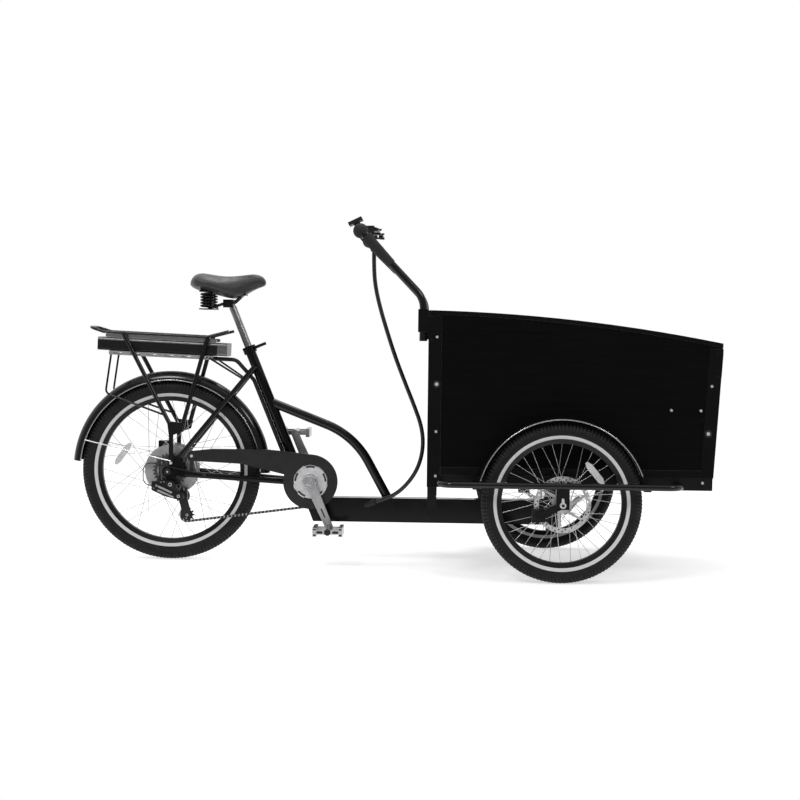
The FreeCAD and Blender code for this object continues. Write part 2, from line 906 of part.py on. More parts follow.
def dropout(with_hanger):
    """Plate that takes the axle, the ends of both stays and the rack's eyelet."""
    inner = -dropout_face
    outer = inner - dropout_thickness
    chain_rear = chain_stay_ends()[0]
    seat_rear = seat_stay_ends()[0]
    half = dropout_arm / 2
    eyelet = V(eyelet_reach, 0, rear_axle_z + eyelet_rise)
    shapes = [
        disc(rear_axle, dropout_radius, outer, inner),
        prism([(0, rear_axle_z - half), (chain_rear.x, chain_rear.z - half),
               (chain_rear.x, chain_rear.z + half),
               (0, rear_axle_z + half)], outer, inner),
        prism([(seat_rear.x - half, seat_rear.z), (-half, rear_axle_z), (chain_rear.x, chain_rear.z),
               (seat_rear.x + half, seat_rear.z)], outer, inner),
        disc(eyelet, eyelet_radius, outer, inner),
    ]
    if with_hanger:
        tab = rear_axle + V(hanger_reach, 0, -hanger_drop)
        shapes.append(disc(tab, hanger_radius, outer, inner))
        shapes.append(prism([(-hanger_radius, rear_axle_z), (tab.x - hanger_radius, tab.z),
                             (tab.x + hanger_radius, tab.z), (dropout_radius, rear_axle_z)], outer, inner))
    hole = disc(rear_axle, axle_radius, outer - cut_overrun, inner + cut_overrun)
    return joined(shapes).cut(hole)


def chainstays():
    rear, front = chain_stay_ends()
    inner_plate = dropout(True)
    stay = tube(rear, front, chain_stay_radius, chain_stay_wall)
    right = max(stay.cut(inner_plate).Solids, key=lambda solid: solid.Volume)
    half = bracket_plate_width / 2
    lug_x = seat_tube_base.x - seat_tube_radius
    lug = block(V(front.x, front.y - chain_stay_radius, front.z - chain_stay_radius),
                V(lug_x, -half, front.z + chain_stay_radius))
    return [inner_plate, mirrored(dropout(False))] + both_sides([right, lug.cut(stay)])


def bridge_point(rear, top):
    """Where the bridge between the stays rests on the mudguard's crown."""
    run = V(top.x - rear.x, 0, top.z - rear.z)
    start = V(rear.x, 0, rear.z) - rear_axle
    reach = rear_mudguard_radius + bridge_radius
    square = run.dot(run)
    lean = run.dot(start)
    share = (math.sqrt(lean * lean - square * (start.dot(start) - reach * reach)) - lean) / square
    return rear + (top - rear) * share


def seatstays():
    rear, top = seat_stay_ends()
    body = rod(rear, top, seat_stay_radius)
    seat_cut = rod(seat_tube_base, seat_tube_top, seat_tube_radius)
    stay = max(body.cut(dropout(True)).cut(seat_cut).Solids, key=lambda solid: solid.Volume)
    place_on_stay = bridge_point(rear, top)
    bridge = rod(place_on_stay, V(place_on_stay.x, -place_on_stay.y, place_on_stay.z), bridge_radius)
    bridge_cut = bridge.cut(body).cut(mirrored(body))
    middle = max(bridge_cut.Solids, key=lambda solid: solid.Volume)
    return both_sides([stay]) + [middle]


def frame_fasteners():
    """Rear axle with its collars and nuts, the eyelet bolts and the chain guard's bolts."""
    outer = dropout_face + dropout_thickness
    nut_face = outer + nut_height
    left_end = dropout_face - nut_height + side_gap
    shaft = joined([
        disc(rear_axle, axle_radius, -nut_face - axle_end, nut_face + axle_end),
        disc(rear_axle, axle_collar_radius, -dropout_face, -freewheel_end - side_gap),
        disc(rear_axle, axle_collar_radius, left_end, dropout_face),
    ])
    nut = ring(rear_axle, nut_radius, axle_radius, -nut_face, -outer)
    eyelet = V(eyelet_reach, 0, rear_axle_z + eyelet_rise)
    leg_face = outer + leg_thickness
    eyelet_bolt = disc(eyelet, bolt_radius, -leg_face - bolt_height, -leg_face)
    tip = V(guard_tip_reach, 0, rear_axle_z + guard_tip_rise)
    guard_face = guard_inner_face + guard_wall
    guard_bolt = disc(tip, bolt_radius, -guard_face - bolt_height, -guard_face)
    return [shaft, guard_bolt] + both_sides([nut, eyelet_bolt])


# Seat

def seat_clamp_collar():
    low = seat_tube_top - seat_up * (collar_height - collar_drop)
    high = seat_tube_top + seat_up * collar_drop
    body = rod(low, high, collar_radius)
    below = rod(low - seat_up * cut_overrun, seat_tube_top, seat_tube_radius)
    bore = rod(low, high + seat_up * cut_overrun, seat_post_radius + running_clearance)
    return [body.cut(below).cut(bore), collar_ear()]


def collar_ear_centre():
    middle = seat_tube_top - seat_up * (collar_height / 2 - collar_drop)
    return middle + seat_forward * (collar_radius + collar_ear_length / 2 - collar_drop)


def lever_pin_centre():
    return collar_ear_centre() - AXLE_LINE * (collar_ear_width / 2 + lever_stem)


def seat_aligned_box(centre, length, width, height):
    """A box whose length runs forward from the seat tube and whose height runs along the tube."""
    shape = Part.makeBox(length, width, height)
    corner = centre - seat_forward * (length / 2) - AXLE_LINE * (width / 2) - seat_up * (height / 2)
    shape.Placement = FreeCAD.Placement(corner, FreeCAD.Rotation(seat_forward, AXLE_LINE, seat_up, "XYZ"))
    return shape


def collar_ear():
    """Split ears at the front of the collar, with the lever's pin on a stem to the right."""
    centre = collar_ear_centre()
    pin = lever_pin_centre()
    half = seat_up * (lever_width / 2)
    ear = seat_aligned_box(centre, collar_ear_length, collar_ear_width, lever_width)
    collar = rod(seat_tube_top - seat_up * collar_height, seat_tube_top + seat_up * collar_height,
                 collar_radius)
    stem = rod(centre - AXLE_LINE * (collar_ear_width / 2), pin, lever_stem_radius)
    return joined([ear.cut(collar), stem, rod(pin - half, pin + half, lever_pin_radius)])


def seat_clamp_lever():
    """Cam lever that forks over the stem and turns on the collar's pin."""
    pin = lever_pin_centre()
    half = seat_up * (lever_width / 2)
    barrel = rod(pin - half, pin + half, lever_barrel_radius)
    middle = pin + seat_forward * (lever_length / 2) - AXLE_LINE * (lever_barrel_radius - lever_thickness / 2)
    arm = seat_aligned_box(middle, lever_length, lever_thickness, lever_width)
    bore = rod(pin - half * 2, pin + half * 2, lever_pin_radius + running_clearance)
    gap = seat_up * (lever_pin_radius + side_gap)
    fork = rod(pin - gap, pin + gap, lever_barrel_radius + side_gap)
    return [joined([barrel, arm]).cut(bore).cut(fork)]


def seat_post():
    foot = seat_tube_top - seat_up * seat_post_inserted
    return [tube(foot, saddle_post_top, seat_post_radius, seat_post_wall)]


def arc_from(start, corner, end):
    """The arc that leaves the start towards the corner and reaches the end."""
    base = (start + end) * 0.5
    half = (end - start).Length / 2
    lean = math.acos(half / (corner - start).Length)
    middle = base + (corner - base).normalize() * (half * math.tan(lean / 2))
    return Part.Arc(start, middle, end).toShape()


def biarc(start, heading, end, end_heading):
    """Two arcs that meet smoothly and keep the headings at both ends."""
    chord = end - start
    turn = 2 * (1 - heading.dot(end_heading))
    along = chord.dot(heading + end_heading)
    reach = (math.sqrt(along * along + turn * chord.dot(chord)) - along) / turn
    first = start + heading * reach
    last = end - end_heading * reach
    middle = (first + last) * 0.5
    return [arc_from(start, first, middle), arc_from(middle, last, end)]


def spring_stations():
    """Points and headings at each quarter turn of the right spring."""
    x = saddle_rear_x + saddle_length * spring_x_share
    low = spring_foot_z + spring_wire_radius + side_gap
    high = spring_top_z - spring_wire_radius - side_gap
    quarters = 4 * spring_turns
    slope = (high - low) / (2 * math.pi * spring_radius * spring_turns)
    result = []
    for number in range(quarters + 1):
        angle = number * math.pi / 2
        point = V(x + spring_radius * math.cos(angle), -spring_half_spacing + spring_radius * math.sin(angle),
                  low + (high - low) * number / quarters)
        heading = V(-math.sin(angle), math.cos(angle), slope).normalize()
        result.append((point, heading))
    return result


def spring_path():
    stations = spring_stations()
    edges = []
    for (start, heading), (end, end_heading) in zip(stations, stations[1:]):
        edges += biarc(start, heading, end, end_heading)
    first, first_heading = stations[0]
    last, last_heading = stations[-1]
    lead_in = Part.LineSegment(first - first_heading * spring_end_run, first).toShape()
    lead_out = Part.LineSegment(last, last + last_heading * spring_end_run).toShape()
    return Part.Wire([lead_in] + edges + [lead_out])


def spring_self_gap(path):
    """Least space between turns, measured on points a third of a turn or more apart."""
    points = []
    for edge in path.OrderedEdges:
        points += edge.discretize(spring_samples)[:-1]
    apart = spring_samples * arcs_per_turn // 3
    least = min((a - b).Length for i, a in enumerate(points) for b in points[i + apart:])
    return least - 2 * spring_wire_radius


def saddle_springs():
    path = spring_path()
    print("saddle spring self gap", round(spring_self_gap(path), 2))
    return both_sides([pipe(path, spring_wire_radius)])


def spring_lugs():
    stations = spring_stations()
    first, first_heading = stations[0]
    last, last_heading = stations[-1]
    low_end = first - first_heading * spring_end_run
    high_end = last + last_heading * spring_end_run
    return both_sides([
        rod(low_end - first_heading * spring_lug_length, low_end, spring_lug_radius),
        rod(high_end, high_end + last_heading * spring_lug_length, spring_lug_radius),
    ])


def saddle_frame():
    """Rails, spring plates, nose bracket and the clamp on the seat post, welded together."""
    spring_x = saddle_rear_x + saddle_length * spring_x_share
    nose_x = saddle_rear_x + saddle_length * rail_front_share
    clamp_half = saddle_clamp_length / 2
    reach = spring_radius + spring_wire_radius
    rail = bent_rod([
        V(nose_x, -rail_half_spacing, nose_bracket_z), V(saddle_clamp_x + clamp_half, -rail_half_spacing,
                                                         rail_z),
        V(saddle_clamp_x - clamp_half, -rail_half_spacing, rail_z), V(spring_x, -rail_half_spacing,
                                                                      spring_foot_z),
    ], [rail_bend, rail_bend], rail_radius)
    post = rod(seat_tube_top, saddle_post_top, seat_post_radius)
    head = block(V(saddle_clamp_x - clamp_half, -saddle_clamp_width / 2, rail_z - saddle_clamp_height / 2),
                 V(saddle_clamp_x + clamp_half, saddle_clamp_width / 2, rail_z + saddle_clamp_height / 2))
    plate_y = spring_half_spacing + reach
    low_plate = block(V(spring_x - reach, -plate_y, spring_foot_z - spring_plate),
                      V(spring_x + reach, plate_y, spring_foot_z))
    high_plate = block(V(spring_x - reach, -plate_y, spring_top_z),
                       V(spring_x + reach, plate_y, spring_top_z + base_thickness))
    nose = block(V(nose_x - base_inset, -rail_half_spacing - rail_radius, nose_bracket_z - rail_radius),
                 V(nose_x + base_inset, rail_half_spacing + rail_radius, nose_bracket_z + base_thickness))
    body = joined([head, low_plate, high_plate, nose, rail, mirrored(rail)] + spring_lugs())
    return [solid for solid in body.cut(post).Solids]


def saddle_section(x_share, width_share, top_share, bottom_share):
    """One cross-section: flat bottom, sides drawn in above and below, crowned top."""
    x = saddle_rear_x + saddle_length * x_share
    half = saddle_half_width * width_share
    top = saddle_top_z - saddle_depth * (1 - top_share)
    bottom = saddle_top_z - saddle_depth * (1 - bottom_share)
    inner = half * (1 - saddle_draw_share)
    shoulder = top - (top - bottom) * saddle_crown_share
    middle = (shoulder + bottom) / 2
    edges = [
        Part.LineSegment(V(x, -inner, bottom), V(x, inner, bottom)).toShape(),
        Part.Arc(V(x, inner, bottom), V(x, half, middle), V(x, inner, shoulder)).toShape(),
        Part.Arc(V(x, inner, shoulder), V(x, 0, top), V(x, -inner, shoulder)).toShape(),
        Part.Arc(V(x, -inner, shoulder), V(x, -half, middle), V(x, -inner, bottom)).toShape(),
    ]
    return Part.Wire(edges)


def saddle_cushion(frame_shapes):
    body = Part.makeLoft([saddle_section(*row) for row in saddle_section_shares], True, False)
    for shape in frame_shapes:
        body = body.cut(shape)
    return [max(body.Solids, key=lambda solid: solid.Volume)]


# Rear rack and battery, drawn level and then tilted nose down

def tilted_point(x, y, z):
    angle = math.radians(rack_tilt)
    return V(x * math.cos(angle) + z * math.sin(angle), y, rack_z - x * math.sin(angle) + z * math.cos(angle))


def tilted(shape):
    return shape.rotated(V(0, 0, 0), AXLE_LINE, rack_tilt).translated(V(0, 0, rack_z))


def rack_loop():
    half = rack_half_width
    side = [V(rack_front_tip, -half, rack_tip_rise), V(rack_front, -half, 0), V(-rack_rear, -half, 0),
            V(-rack_rear_tip, -half, rack_rear_rise)]
    points = side + [V(point.x, half, point.z) for point in reversed(side)]
    bends = [rack_bend, rack_bend, rack_corner_bend, rack_corner_bend, rack_bend, rack_bend]
    loop = bent_rod(points, bends, rack_rail_radius)
    length = rack_front + rack_rear
    bars = []
    for share in rack_cross_shares:
        x = rack_front - length * share
        bars.append(rod(V(x, -half, 0), V(x, half, 0), rack_cross_radius))
    return tilted(joined([loop] + bars))


def rack_side(loop, tray):
    """Struts, foot plate, leg, lower loop and front brace of the right side."""
    outer = -dropout_face - dropout_thickness
    foot_y = outer - leg_thickness / 2
    rear_top = tilted_point(-strut_rear_top, -rack_half_width, 0)
    front_top = tilted_point(strut_front_top, -rack_half_width, 0)
    rear_foot = V(strut_foot_reach, foot_y, rear_axle_z + strut_foot_rise)
    front_foot = V(strut_front_foot_reach, foot_y, rear_axle_z + strut_front_foot_rise)
    eyelet = V(eyelet_reach, 0, rear_axle_z + eyelet_rise)
    half = leg_width / 2
    plate = prism([
        (rear_foot.x - strut_radius, rear_foot.z + strut_radius), (eyelet.x - half,
                                                                   rear_foot.z - strut_plate_height),
        (front_foot.x + strut_radius, front_foot.z - strut_radius), (front_foot.x + 2 * strut_radius,
                                                                     rear_foot.z),
    ], outer - leg_thickness, outer)
    leg = block(V(eyelet.x - half, outer - leg_thickness, eyelet.z - half),
                V(eyelet.x + half, outer, rear_foot.z))
    loop_y = -tray_half_width - loop_radius
    loop_foot = rear_top + (rear_foot - rear_top) * loop_foot_share
    loop_top = tilted_point(-loop_top_reach, loop_y, tray_bottom)
    low = bent_rod([loop_top, V(-loop_low_reach, loop_y, rack_z - loop_low_drop), loop_foot],
                   [loop_bend], loop_radius)
    stay_rear, stay_top = seat_stay_ends()
    brace_end = stay_rear + (stay_top - stay_rear) * brace_share
    brace_start = tilted_point(tray_front - brace_setback, loop_y, tray_bottom + tray_thickness / 2)
    brace = rod(brace_start, brace_end, brace_radius)
    stay = rod(stay_rear, stay_top, seat_stay_radius)
    body = joined([
        rod(rear_top, rear_foot, strut_radius), rod(front_top, front_foot, strut_radius), plate, leg, low,
    ])
    body = max(body.cut(loop).cut(tray).Solids, key=lambda solid: solid.Volume)
    held_brace = max(brace.cut(stay).cut(tray).Solids, key=lambda solid: solid.Volume)
    return [body, held_brace]


def battery_tray():
    """Slotted tray under the battery, with a tab at each strut."""
    half = tray_half_width
    body = block(V(-tray_rear, -half, tray_bottom), V(tray_front, half, tray_bottom + tray_thickness))
    slot_low = tray_bottom + (tray_thickness - tray_slot_height) / 2
    step = (tray_front + tray_rear) / tray_slots
    for number in range(tray_slots):
        x = -tray_rear + step * (number + tray_slot_middle_share) - tray_slot_length / 2
        body = body.cut(block(V(x, -half - cut_overrun, slot_low),
                              V(x + tray_slot_length, half + cut_overrun, slot_low + tray_slot_height)))
    tray = tilted(body)
    tabs = []
    for top, reach, rise in ((-strut_rear_top, strut_foot_reach, strut_foot_rise),
                             (strut_front_top, strut_front_foot_reach, strut_front_foot_rise)):
        start = tilted_point(top, -rack_half_width, 0)
        foot = V(reach, -dropout_face - dropout_thickness - leg_thickness / 2, rear_axle_z + rise)
        level = tilted_point(top, 0, tray_bottom + tray_thickness / 2).z
        middle = start + (foot - start) * ((start.z - level) / (start.z - foot.z))
        tab = rod(V(middle.x, -half, middle.z), middle, tray_tab_radius).cut(rod(start, foot, strut_radius))
        tabs += both_sides([max(tab.Solids, key=lambda solid: solid.Volume)])
    return tray, tabs


def battery_case():
    """Battery with rounded long edges, a raised front cap and a band along each side."""
    half = battery_half_width
    top = -battery_top_drop
    bottom = top - battery_height
    body = block(V(-battery_rear, -half, bottom), V(battery_front - battery_cap_length, half, top))
    long_edges = [edge for edge in body.Edges if abs(edge.tangentAt(edge.FirstParameter).x) > 0.5]
    shell = body.makeFillet(battery_corner, long_edges)
    cap = block(V(battery_front - battery_cap_length, -half, bottom), V(battery_front, half, top))
    cap_edges = [edge for edge in cap.Edges if abs(edge.tangentAt(edge.FirstParameter).x) > 0.5]
    return [tilted(shell), tilted(cap.makeFillet(battery_corner, cap_edges))]


# Mudguards and the chain guard

def mudguard(radius, crown, front_angle, rear_angle):
    """A thin crowned shell about the Y axis."""
    half = mudguard_half_width
    edge = radius - crown
    wall = mudguard_wall
    edges = [
        Part.Arc(V(edge, -half, 0), V(radius, 0, 0), V(edge, half, 0)).toShape(),
        Part.LineSegment(V(edge, half, 0), V(edge - wall, half, 0)).toShape(),
        Part.Arc(V(edge - wall, half, 0), V(radius - wall, 0, 0), V(edge - wall, -half, 0)).toShape(),
        Part.LineSegment(V(edge - wall, -half, 0), V(edge, -half, 0)).toShape(),
    ]
    shell = Part.Face(Part.Wire(edges)).revolve(V(0, 0, 0), AXLE_LINE * -1, rear_angle - front_angle)
    return shell.rotated(V(0, 0, 0), AXLE_LINE * -1, front_angle)


def rear_mudguard():
    shell = mudguard(rear_mudguard_radius, rear_mudguard_crown, rear_mudguard_front_angle,
                     rear_mudguard_rear_angle)
    return [shell.translated(rear_axle)]


def rear_mudguard_stays():
    """A wire on each side from the mudguard's edge to the rack's eyelet bolt."""
    edge = rear_mudguard_radius - rear_mudguard_crown
    start = polar(rear_axle, edge, guard_stay_angle, -mudguard_half_width - guard_stay_radius)
    leg_face = dropout_face + dropout_thickness + leg_thickness
    end = V(eyelet_reach, -leg_face - 2 * guard_stay_radius,
            rear_axle_z + eyelet_rise + bolt_radius + guard_stay_radius)
    return both_sides([rod(start, end, guard_stay_radius)])


def chain_guard():
    """A shallow pan round the upper chain run and the chainring, with its two brackets."""
    tip = V(guard_tip_reach, 0, rear_axle_z + guard_tip_rise)
    top = rear_axle_z + guard_top_rise
    over = polar(bracket, guard_disc_radius, guard_disc_top_angle, 0)
    under = polar(bracket, guard_disc_radius, guard_disc_low_angle, 0)
    tip_top = polar(tip, guard_tip_radius, guard_tip_top_angle, 0)
    tip_low = polar(tip, guard_tip_radius, guard_tip_low_angle, 0)
    outline = [(tip_top.x, tip_top.z), (guard_top_start, top), (guard_top_end, top), (over.x, over.z),
               (under.x, under.z), (guard_low_reach, rear_axle_z + guard_low_rise), (tip_low.x, tip_low.z)]
    outer = -guard_inner_face - guard_wall
    corners = [V(x, outer, z) for x, z in outline]
    flats = [Part.Face(Part.makePolygon(corners + corners[:1]))]
    for centre, radius in ((tip, guard_tip_radius), (bracket, guard_disc_radius)):
        flats.append(Part.Face(Part.Wire(Part.makeCircle(radius, V(centre.x, outer, centre.z), AXLE_LINE))))
    face = Part.Face(joined(flats).Faces[0].OuterWire)
    inner = Part.Face(face.OuterWire.makeOffset2D(-guard_wall))
    deep = V(0, guard_lip + guard_wall, 0)
    hollow = inner.extrude(deep).translated(V(0, guard_wall, 0))
    opening = disc(bracket, guard_opening_radius, outer - cut_overrun, outer + guard_wall + cut_overrun)
    half = guard_bracket / 2
    rear, front = chain_stay_ends()
    stay = rod(rear, front, chain_stay_radius)
    rear_bracket = block(V(tip.x - half, -guard_inner_face, rear.z),
                         V(tip.x + half, half - guard_inner_face, tip.z + half))
    rear_bracket = max(rear_bracket.cut(stay).Solids, key=lambda solid: solid.BoundBox.ZMax)
    level = bracket_z + guard_bracket_rise
    tube_x = seat_tube_base.x + seat_up.x / seat_up.z * (level - bracket_z)
    rise = guard_bracket * guard_bracket_half_share
    front_bracket = block(V(tube_x - half, -guard_inner_face, level - rise),
                          V(tube_x + half, 0, level + rise))
    front_bracket = front_bracket.cut(rod(seat_tube_base, seat_tube_top, seat_tube_radius))
    front_bracket = min(front_bracket.Solids, key=lambda solid: solid.BoundBox.YMin)
    pan = face.extrude(deep).cut(hollow).cut(opening).cut(rear_bracket)
    return [max(pan.Solids, key=lambda solid: solid.Volume), rear_bracket, front_bracket]


# Chain drive

def sprocket(teeth, centre, y, thickness):
    """A toothed disc whose teeth reach between the chain's plates."""
    radius = pitch_radius(teeth)
    step = 360 / teeth
    points = []
    for number in range(teeth):
        middle = number * step
        for reach, share in ((-tooth_root, -tooth_foot_share), (tooth_height, -tooth_tip_share),
                             (tooth_height, tooth_tip_share), (-tooth_root, tooth_foot_share)):
            point = polar(centre, radius + reach, middle + step * share / 2, y - thickness / 2)
            points.append(point)
    face = Part.Face(Part.makePolygon(points + points[:1]))
    return face.extrude(V(0, thickness, 0))


def freewheel_sprockets():
    shapes = []
    for number, teeth in enumerate(sprocket_teeth):
        y = chain_plane + (driven_place - number) * sprocket_step
        shapes.append(sprocket(teeth, rear_axle, y, sprocket_thickness))
    start = chain_plane + driven_place * sprocket_step + sprocket_thickness / 2
    shapes.append(disc(rear_axle, freewheel_core_radius, -freewheel_end, start))
    bore = disc(rear_axle, freewheel_boss_radius + running_clearance, -freewheel_end - cut_overrun,
                start + cut_overrun)
    return [joined(shapes).cut(bore)]


def pulley(centre):
    half = pulley_boss_width / 2
    body = joined([
        sprocket(pulley_teeth, centre, chain_plane, sprocket_thickness),
        disc(centre, pulley_boss_radius, chain_plane - half, chain_plane + half),
    ])
    bore = disc(centre, pulley_pin_radius + running_clearance, chain_plane - half - cut_overrun,
                chain_plane + half + cut_overrun)
    return [body.cut(bore)]


def belt(change):
    """The chain's closed route, moved outward by a distance: straight runs, then arcs on each wheel."""
    wheels = [
        (rear_axle, pitch_radius(driven_teeth) + change, 1), (bracket, pitch_radius(chainring_teeth) + change,
                                                              1),
        (tension_pulley_centre, pitch_radius(pulley_teeth) + change, 1),
        (guide_pulley_centre, pitch_radius(pulley_teeth) - change, -1),
    ]
    runs = []
    for (centre, radius, way), (next_centre, next_radius, next_way) in zip(wheels, wheels[1:] + wheels[:1]):
        dx = next_centre.x - centre.x
        dz = next_centre.z - centre.z
        apart = next_way * next_radius - way * radius
        square = dx * dx + dz * dz
        length = math.sqrt(square - apart * apart)
        cosine = (length * dx - apart * dz) / square
        sine = (apart * dx + length * dz) / square
        leave = V(centre.x - way * radius * sine, 0, centre.z + way * radius * cosine)
        runs.append((leave, leave + V(cosine, 0, sine) * length))
    return wheels, runs


def belt_face(change):
    wheels, runs = belt(change)
    edges = []
    for number, (start, end) in enumerate(runs):
        edges.append(Part.LineSegment(start, end).toShape())
        centre, radius, way = wheels[(number + 1) % len(wheels)]
        leave = runs[(number + 1) % len(runs)][0]
        first = math.degrees(math.atan2(end.z - centre.z, end.x - centre.x))
        last = math.degrees(math.atan2(leave.z - centre.z, leave.x - centre.x))
        sweep = -way * ((-way * (last - first)) % 360)
        edges.append(Part.Arc(end, polar(centre, radius, first + sweep / 2, 0), leave).toShape())
    return Part.Face(Part.Wire(edges))


def chain():
    """Two plate bands with rollers between them on the long runs."""
    half = chain_plate_height / 2
    band = belt_face(half).cut(belt_face(-half))
    plate = band.extrude(V(0, chain_plate_thickness, 0))
    inner = chain_inner_width / 2
    shapes = [
        plate.translated(V(0, chain_plane + inner, 0)),
        plate.translated(V(0, chain_plane - inner - chain_plate_thickness, 0)),
    ]
    for start, end in belt(0)[1][:2]:
        along = (end - start).normalize()
        room = (end - start).Length - 2 * roller_margin
        for number in range(int(room / chain_pitch) + 1):
            point = start + along * (roller_margin + number * chain_pitch)
            shapes.append(disc(point, roller_radius, chain_plane - inner, chain_plane + inner))
    return [shapes[0].fuse(shapes[1:])]


def link_plate(first, last, radius, start_y, end_y):
    """A plate with round ends about two points."""
    along = (last - first).normalize()
    aside = along.cross(AXLE_LINE) * radius
    a = V(first.x, start_y, first.z)
    b = V(last.x, start_y, last.z)
    edges = [
        Part.LineSegment(a + aside, b + aside).toShape(), Part.Arc(b + aside, b + along * radius,
                                                                   b - aside).toShape(),
        Part.LineSegment(b - aside, a - aside).toShape(), Part.Arc(a - aside, a - along * radius,
                                                                   a + aside).toShape(),
    ]
    return Part.Face(Part.Wire(edges)).extrude(V(0, end_y - start_y, 0))


def rear_derailleur():
    """Body on the dropout's hanger and a cage with a pin for each pulley."""
    tab = rear_axle + V(hanger_reach, 0, -hanger_drop)
    face = -dropout_face - dropout_thickness
    end = face - derailleur_knuckle_depth
    guide = guide_pulley_centre
    tension = tension_pulley_centre
    inner = chain_plane + cage_half_gap
    outer = chain_plane - cage_half_gap
    shapes = []
    for start in (inner, outer - cage_wall):
        shapes.append(link_plate(guide, tension, cage_end_radius, start, start + cage_wall))
    for centre in (guide, tension):
        shapes.append(disc(centre, pulley_pin_radius, outer - cage_wall, inner + cage_wall))
    half = derailleur_body_height / 2
    body = prism([
        (tab.x - derailleur_body_back, tab.z - half), (tab.x - derailleur_body_back, tab.z + half / 2),
        (tab.x, tab.z + derailleur_knuckle_radius), (guide.x + derailleur_knuckle_radius, guide.z),
        (guide.x, guide.z - derailleur_knuckle_radius), (tab.x - half, tab.z - derailleur_body_height),
    ], end, end + derailleur_body_depth)
    shapes += [
        disc(tab, derailleur_knuckle_radius, end, face), body,
        disc(guide, derailleur_knuckle_radius, end, outer - cage_wall),
    ]
    return [joined(shapes)]


def rear_brake_caliper():
    """Caliper over the rear rotor on the left, on a bracket against the dropout."""
    centre = polar(rear_axle, rotor_radius - rotor_band / 2, rear_caliper_angle, 0)
    half = caliper_size / 2
    bracket_face = dropout_face - axle_plate_thickness
    start = motor_half_width + caliper_slot / 2
    body = block(V(centre.x - half, start, centre.z - half),
                 V(centre.x + half, bracket_face, centre.z + half))
    middle = rear_rotor_offset + rotor_thickness / 2
    slot = disc(rear_axle, rotor_radius + caliper_slot / 2, middle - caliper_slot / 2,
                middle + caliper_slot / 2)
    low = rear_axle_z + axle_collar_radius + caliper_bracket_gap
    plate = prism([
        (centre.x - half, centre.z + half), (centre.x + half, centre.z + half), (-bolt_radius / 2,
                                                                                 centre.z - half),
        (-bolt_radius / 2, low), (-dropout_radius, low), (centre.x - half, centre.z - half),
    ], bracket_face, dropout_face)
    return [joined([body.cut(slot), plate])]


def crank_arm(start_y, end_y):
    """An arm that points forward: boss, tapered bar and rounded end."""
    end = bracket + V(crank_length, 0, 0)
    bar = prism([
        (bracket.x, bracket.z - crank_boss_radius), (end.x, end.z - crank_end_radius),
        (end.x, end.z + crank_end_radius), (bracket.x, bracket.z + crank_boss_radius),
    ], start_y, end_y)
    return joined([bar, disc(bracket, crank_boss_radius, start_y, end_y),
                   disc(end, crank_end_radius, start_y, end_y)])


def turned_by(shape, centre, degrees):
    return shape.rotated(centre, AXLE_LINE * -1, degrees)


def pedal_centre(side):
    way = 0 if side < 0 else 180
    return polar(bracket, crank_length, crank_turn + way, 0)


def crank_set():
    outer = crank_inner_face + crank_thickness
    shapes = [disc(bracket, spindle_radius, -outer, outer)]
    for side in (-1, 1):
        way = 0 if side < 0 else 180
        low, high = sorted((side * crank_inner_face, side * outer))
        shapes.append(turned_by(crank_arm(low, high), bracket, crank_turn + way))
        centre = pedal_centre(side)
        low, high = sorted((side * outer, side * (outer + pedal_gap + pedal_width - pedal_cap)))
        shapes.append(disc(centre, pedal_axle_radius, low, high))
    boss = disc(bracket, crank_boss_radius, -crank_inner_face,
                chain_plane - ring_disc_offset - ring_disc_thickness)
    return [joined(shapes + [boss])]


def chainring():
    """Toothed ring on arms, with a plain disc outside it that shows through the guard."""
    half = sprocket_thickness / 2
    toothed = sprocket(chainring_teeth, bracket, chain_plane, sprocket_thickness)
    band = toothed.cut(disc(bracket, ring_inner_radius, chain_plane - cut_overrun, chain_plane + cut_overrun))
    disc_face = chain_plane - ring_disc_offset
    shapes = [band, disc(bracket, ring_boss_radius, disc_face, chain_plane + half),
              disc(bracket, ring_disc_radius, disc_face - ring_disc_thickness, disc_face)]
    reach = ring_inner_radius + half
    for number in range(ring_arms):
        arm = block(V(bracket.x, chain_plane - half, bracket.z - ring_arm_width / 2),
                    V(bracket.x + reach, chain_plane + half, bracket.z + ring_arm_width / 2))
        shapes.append(turned_by(arm, bracket, number * 360 / ring_arms))
    bore = disc(bracket, spindle_radius, chain_plane - 2 * ring_disc_offset, chain_plane + ring_disc_offset)
    return [joined(shapes).cut(bore)]


def pedal(side):
    """A platform pedal: barrel, two treads and two end plates."""
    centre = pedal_centre(side)
    start = crank_inner_face + crank_thickness + pedal_gap
    end = start + pedal_width
    half = pedal_length / 2
    rise = pedal_height / 2
    plate = pedal_cap
    shapes = [disc(centre, pedal_barrel_radius, -end, -start)]
    for way in (-1, 1):
        low, high = sorted((way * half, way * (half - pedal_bar)))
        shapes.append(block(V(centre.x + low, -end, centre.z - rise),
                            V(centre.x + high, -start, centre.z + rise)))
    for low in (-end, -start - plate):
        shapes.append(block(V(centre.x - half, low, centre.z - rise / 2),
                            V(centre.x + half, low + plate, centre.z + rise / 2)))
    bore = disc(centre, pedal_axle_radius + running_clearance, -end + plate - side_gap, -start + cut_overrun)
    body = joined(shapes).cut(bore)
    return [body if side < 0 else mirrored(body)]


# Front unit

def box_tube(low, high, along_x):
    wall = rail_wall
    if along_x:
        inside = block(V(low.x - cut_overrun, low.y + wall, low.z + wall),
                       V(high.x + cut_overrun, high.y - wall, high.z - wall))
    else:
        inside = block(V(low.x + wall, low.y - cut_overrun, low.z + wall),
                       V(high.x - wall, high.y + cut_overrun, high.z - wall))
    return block(low, high).cut(inside)


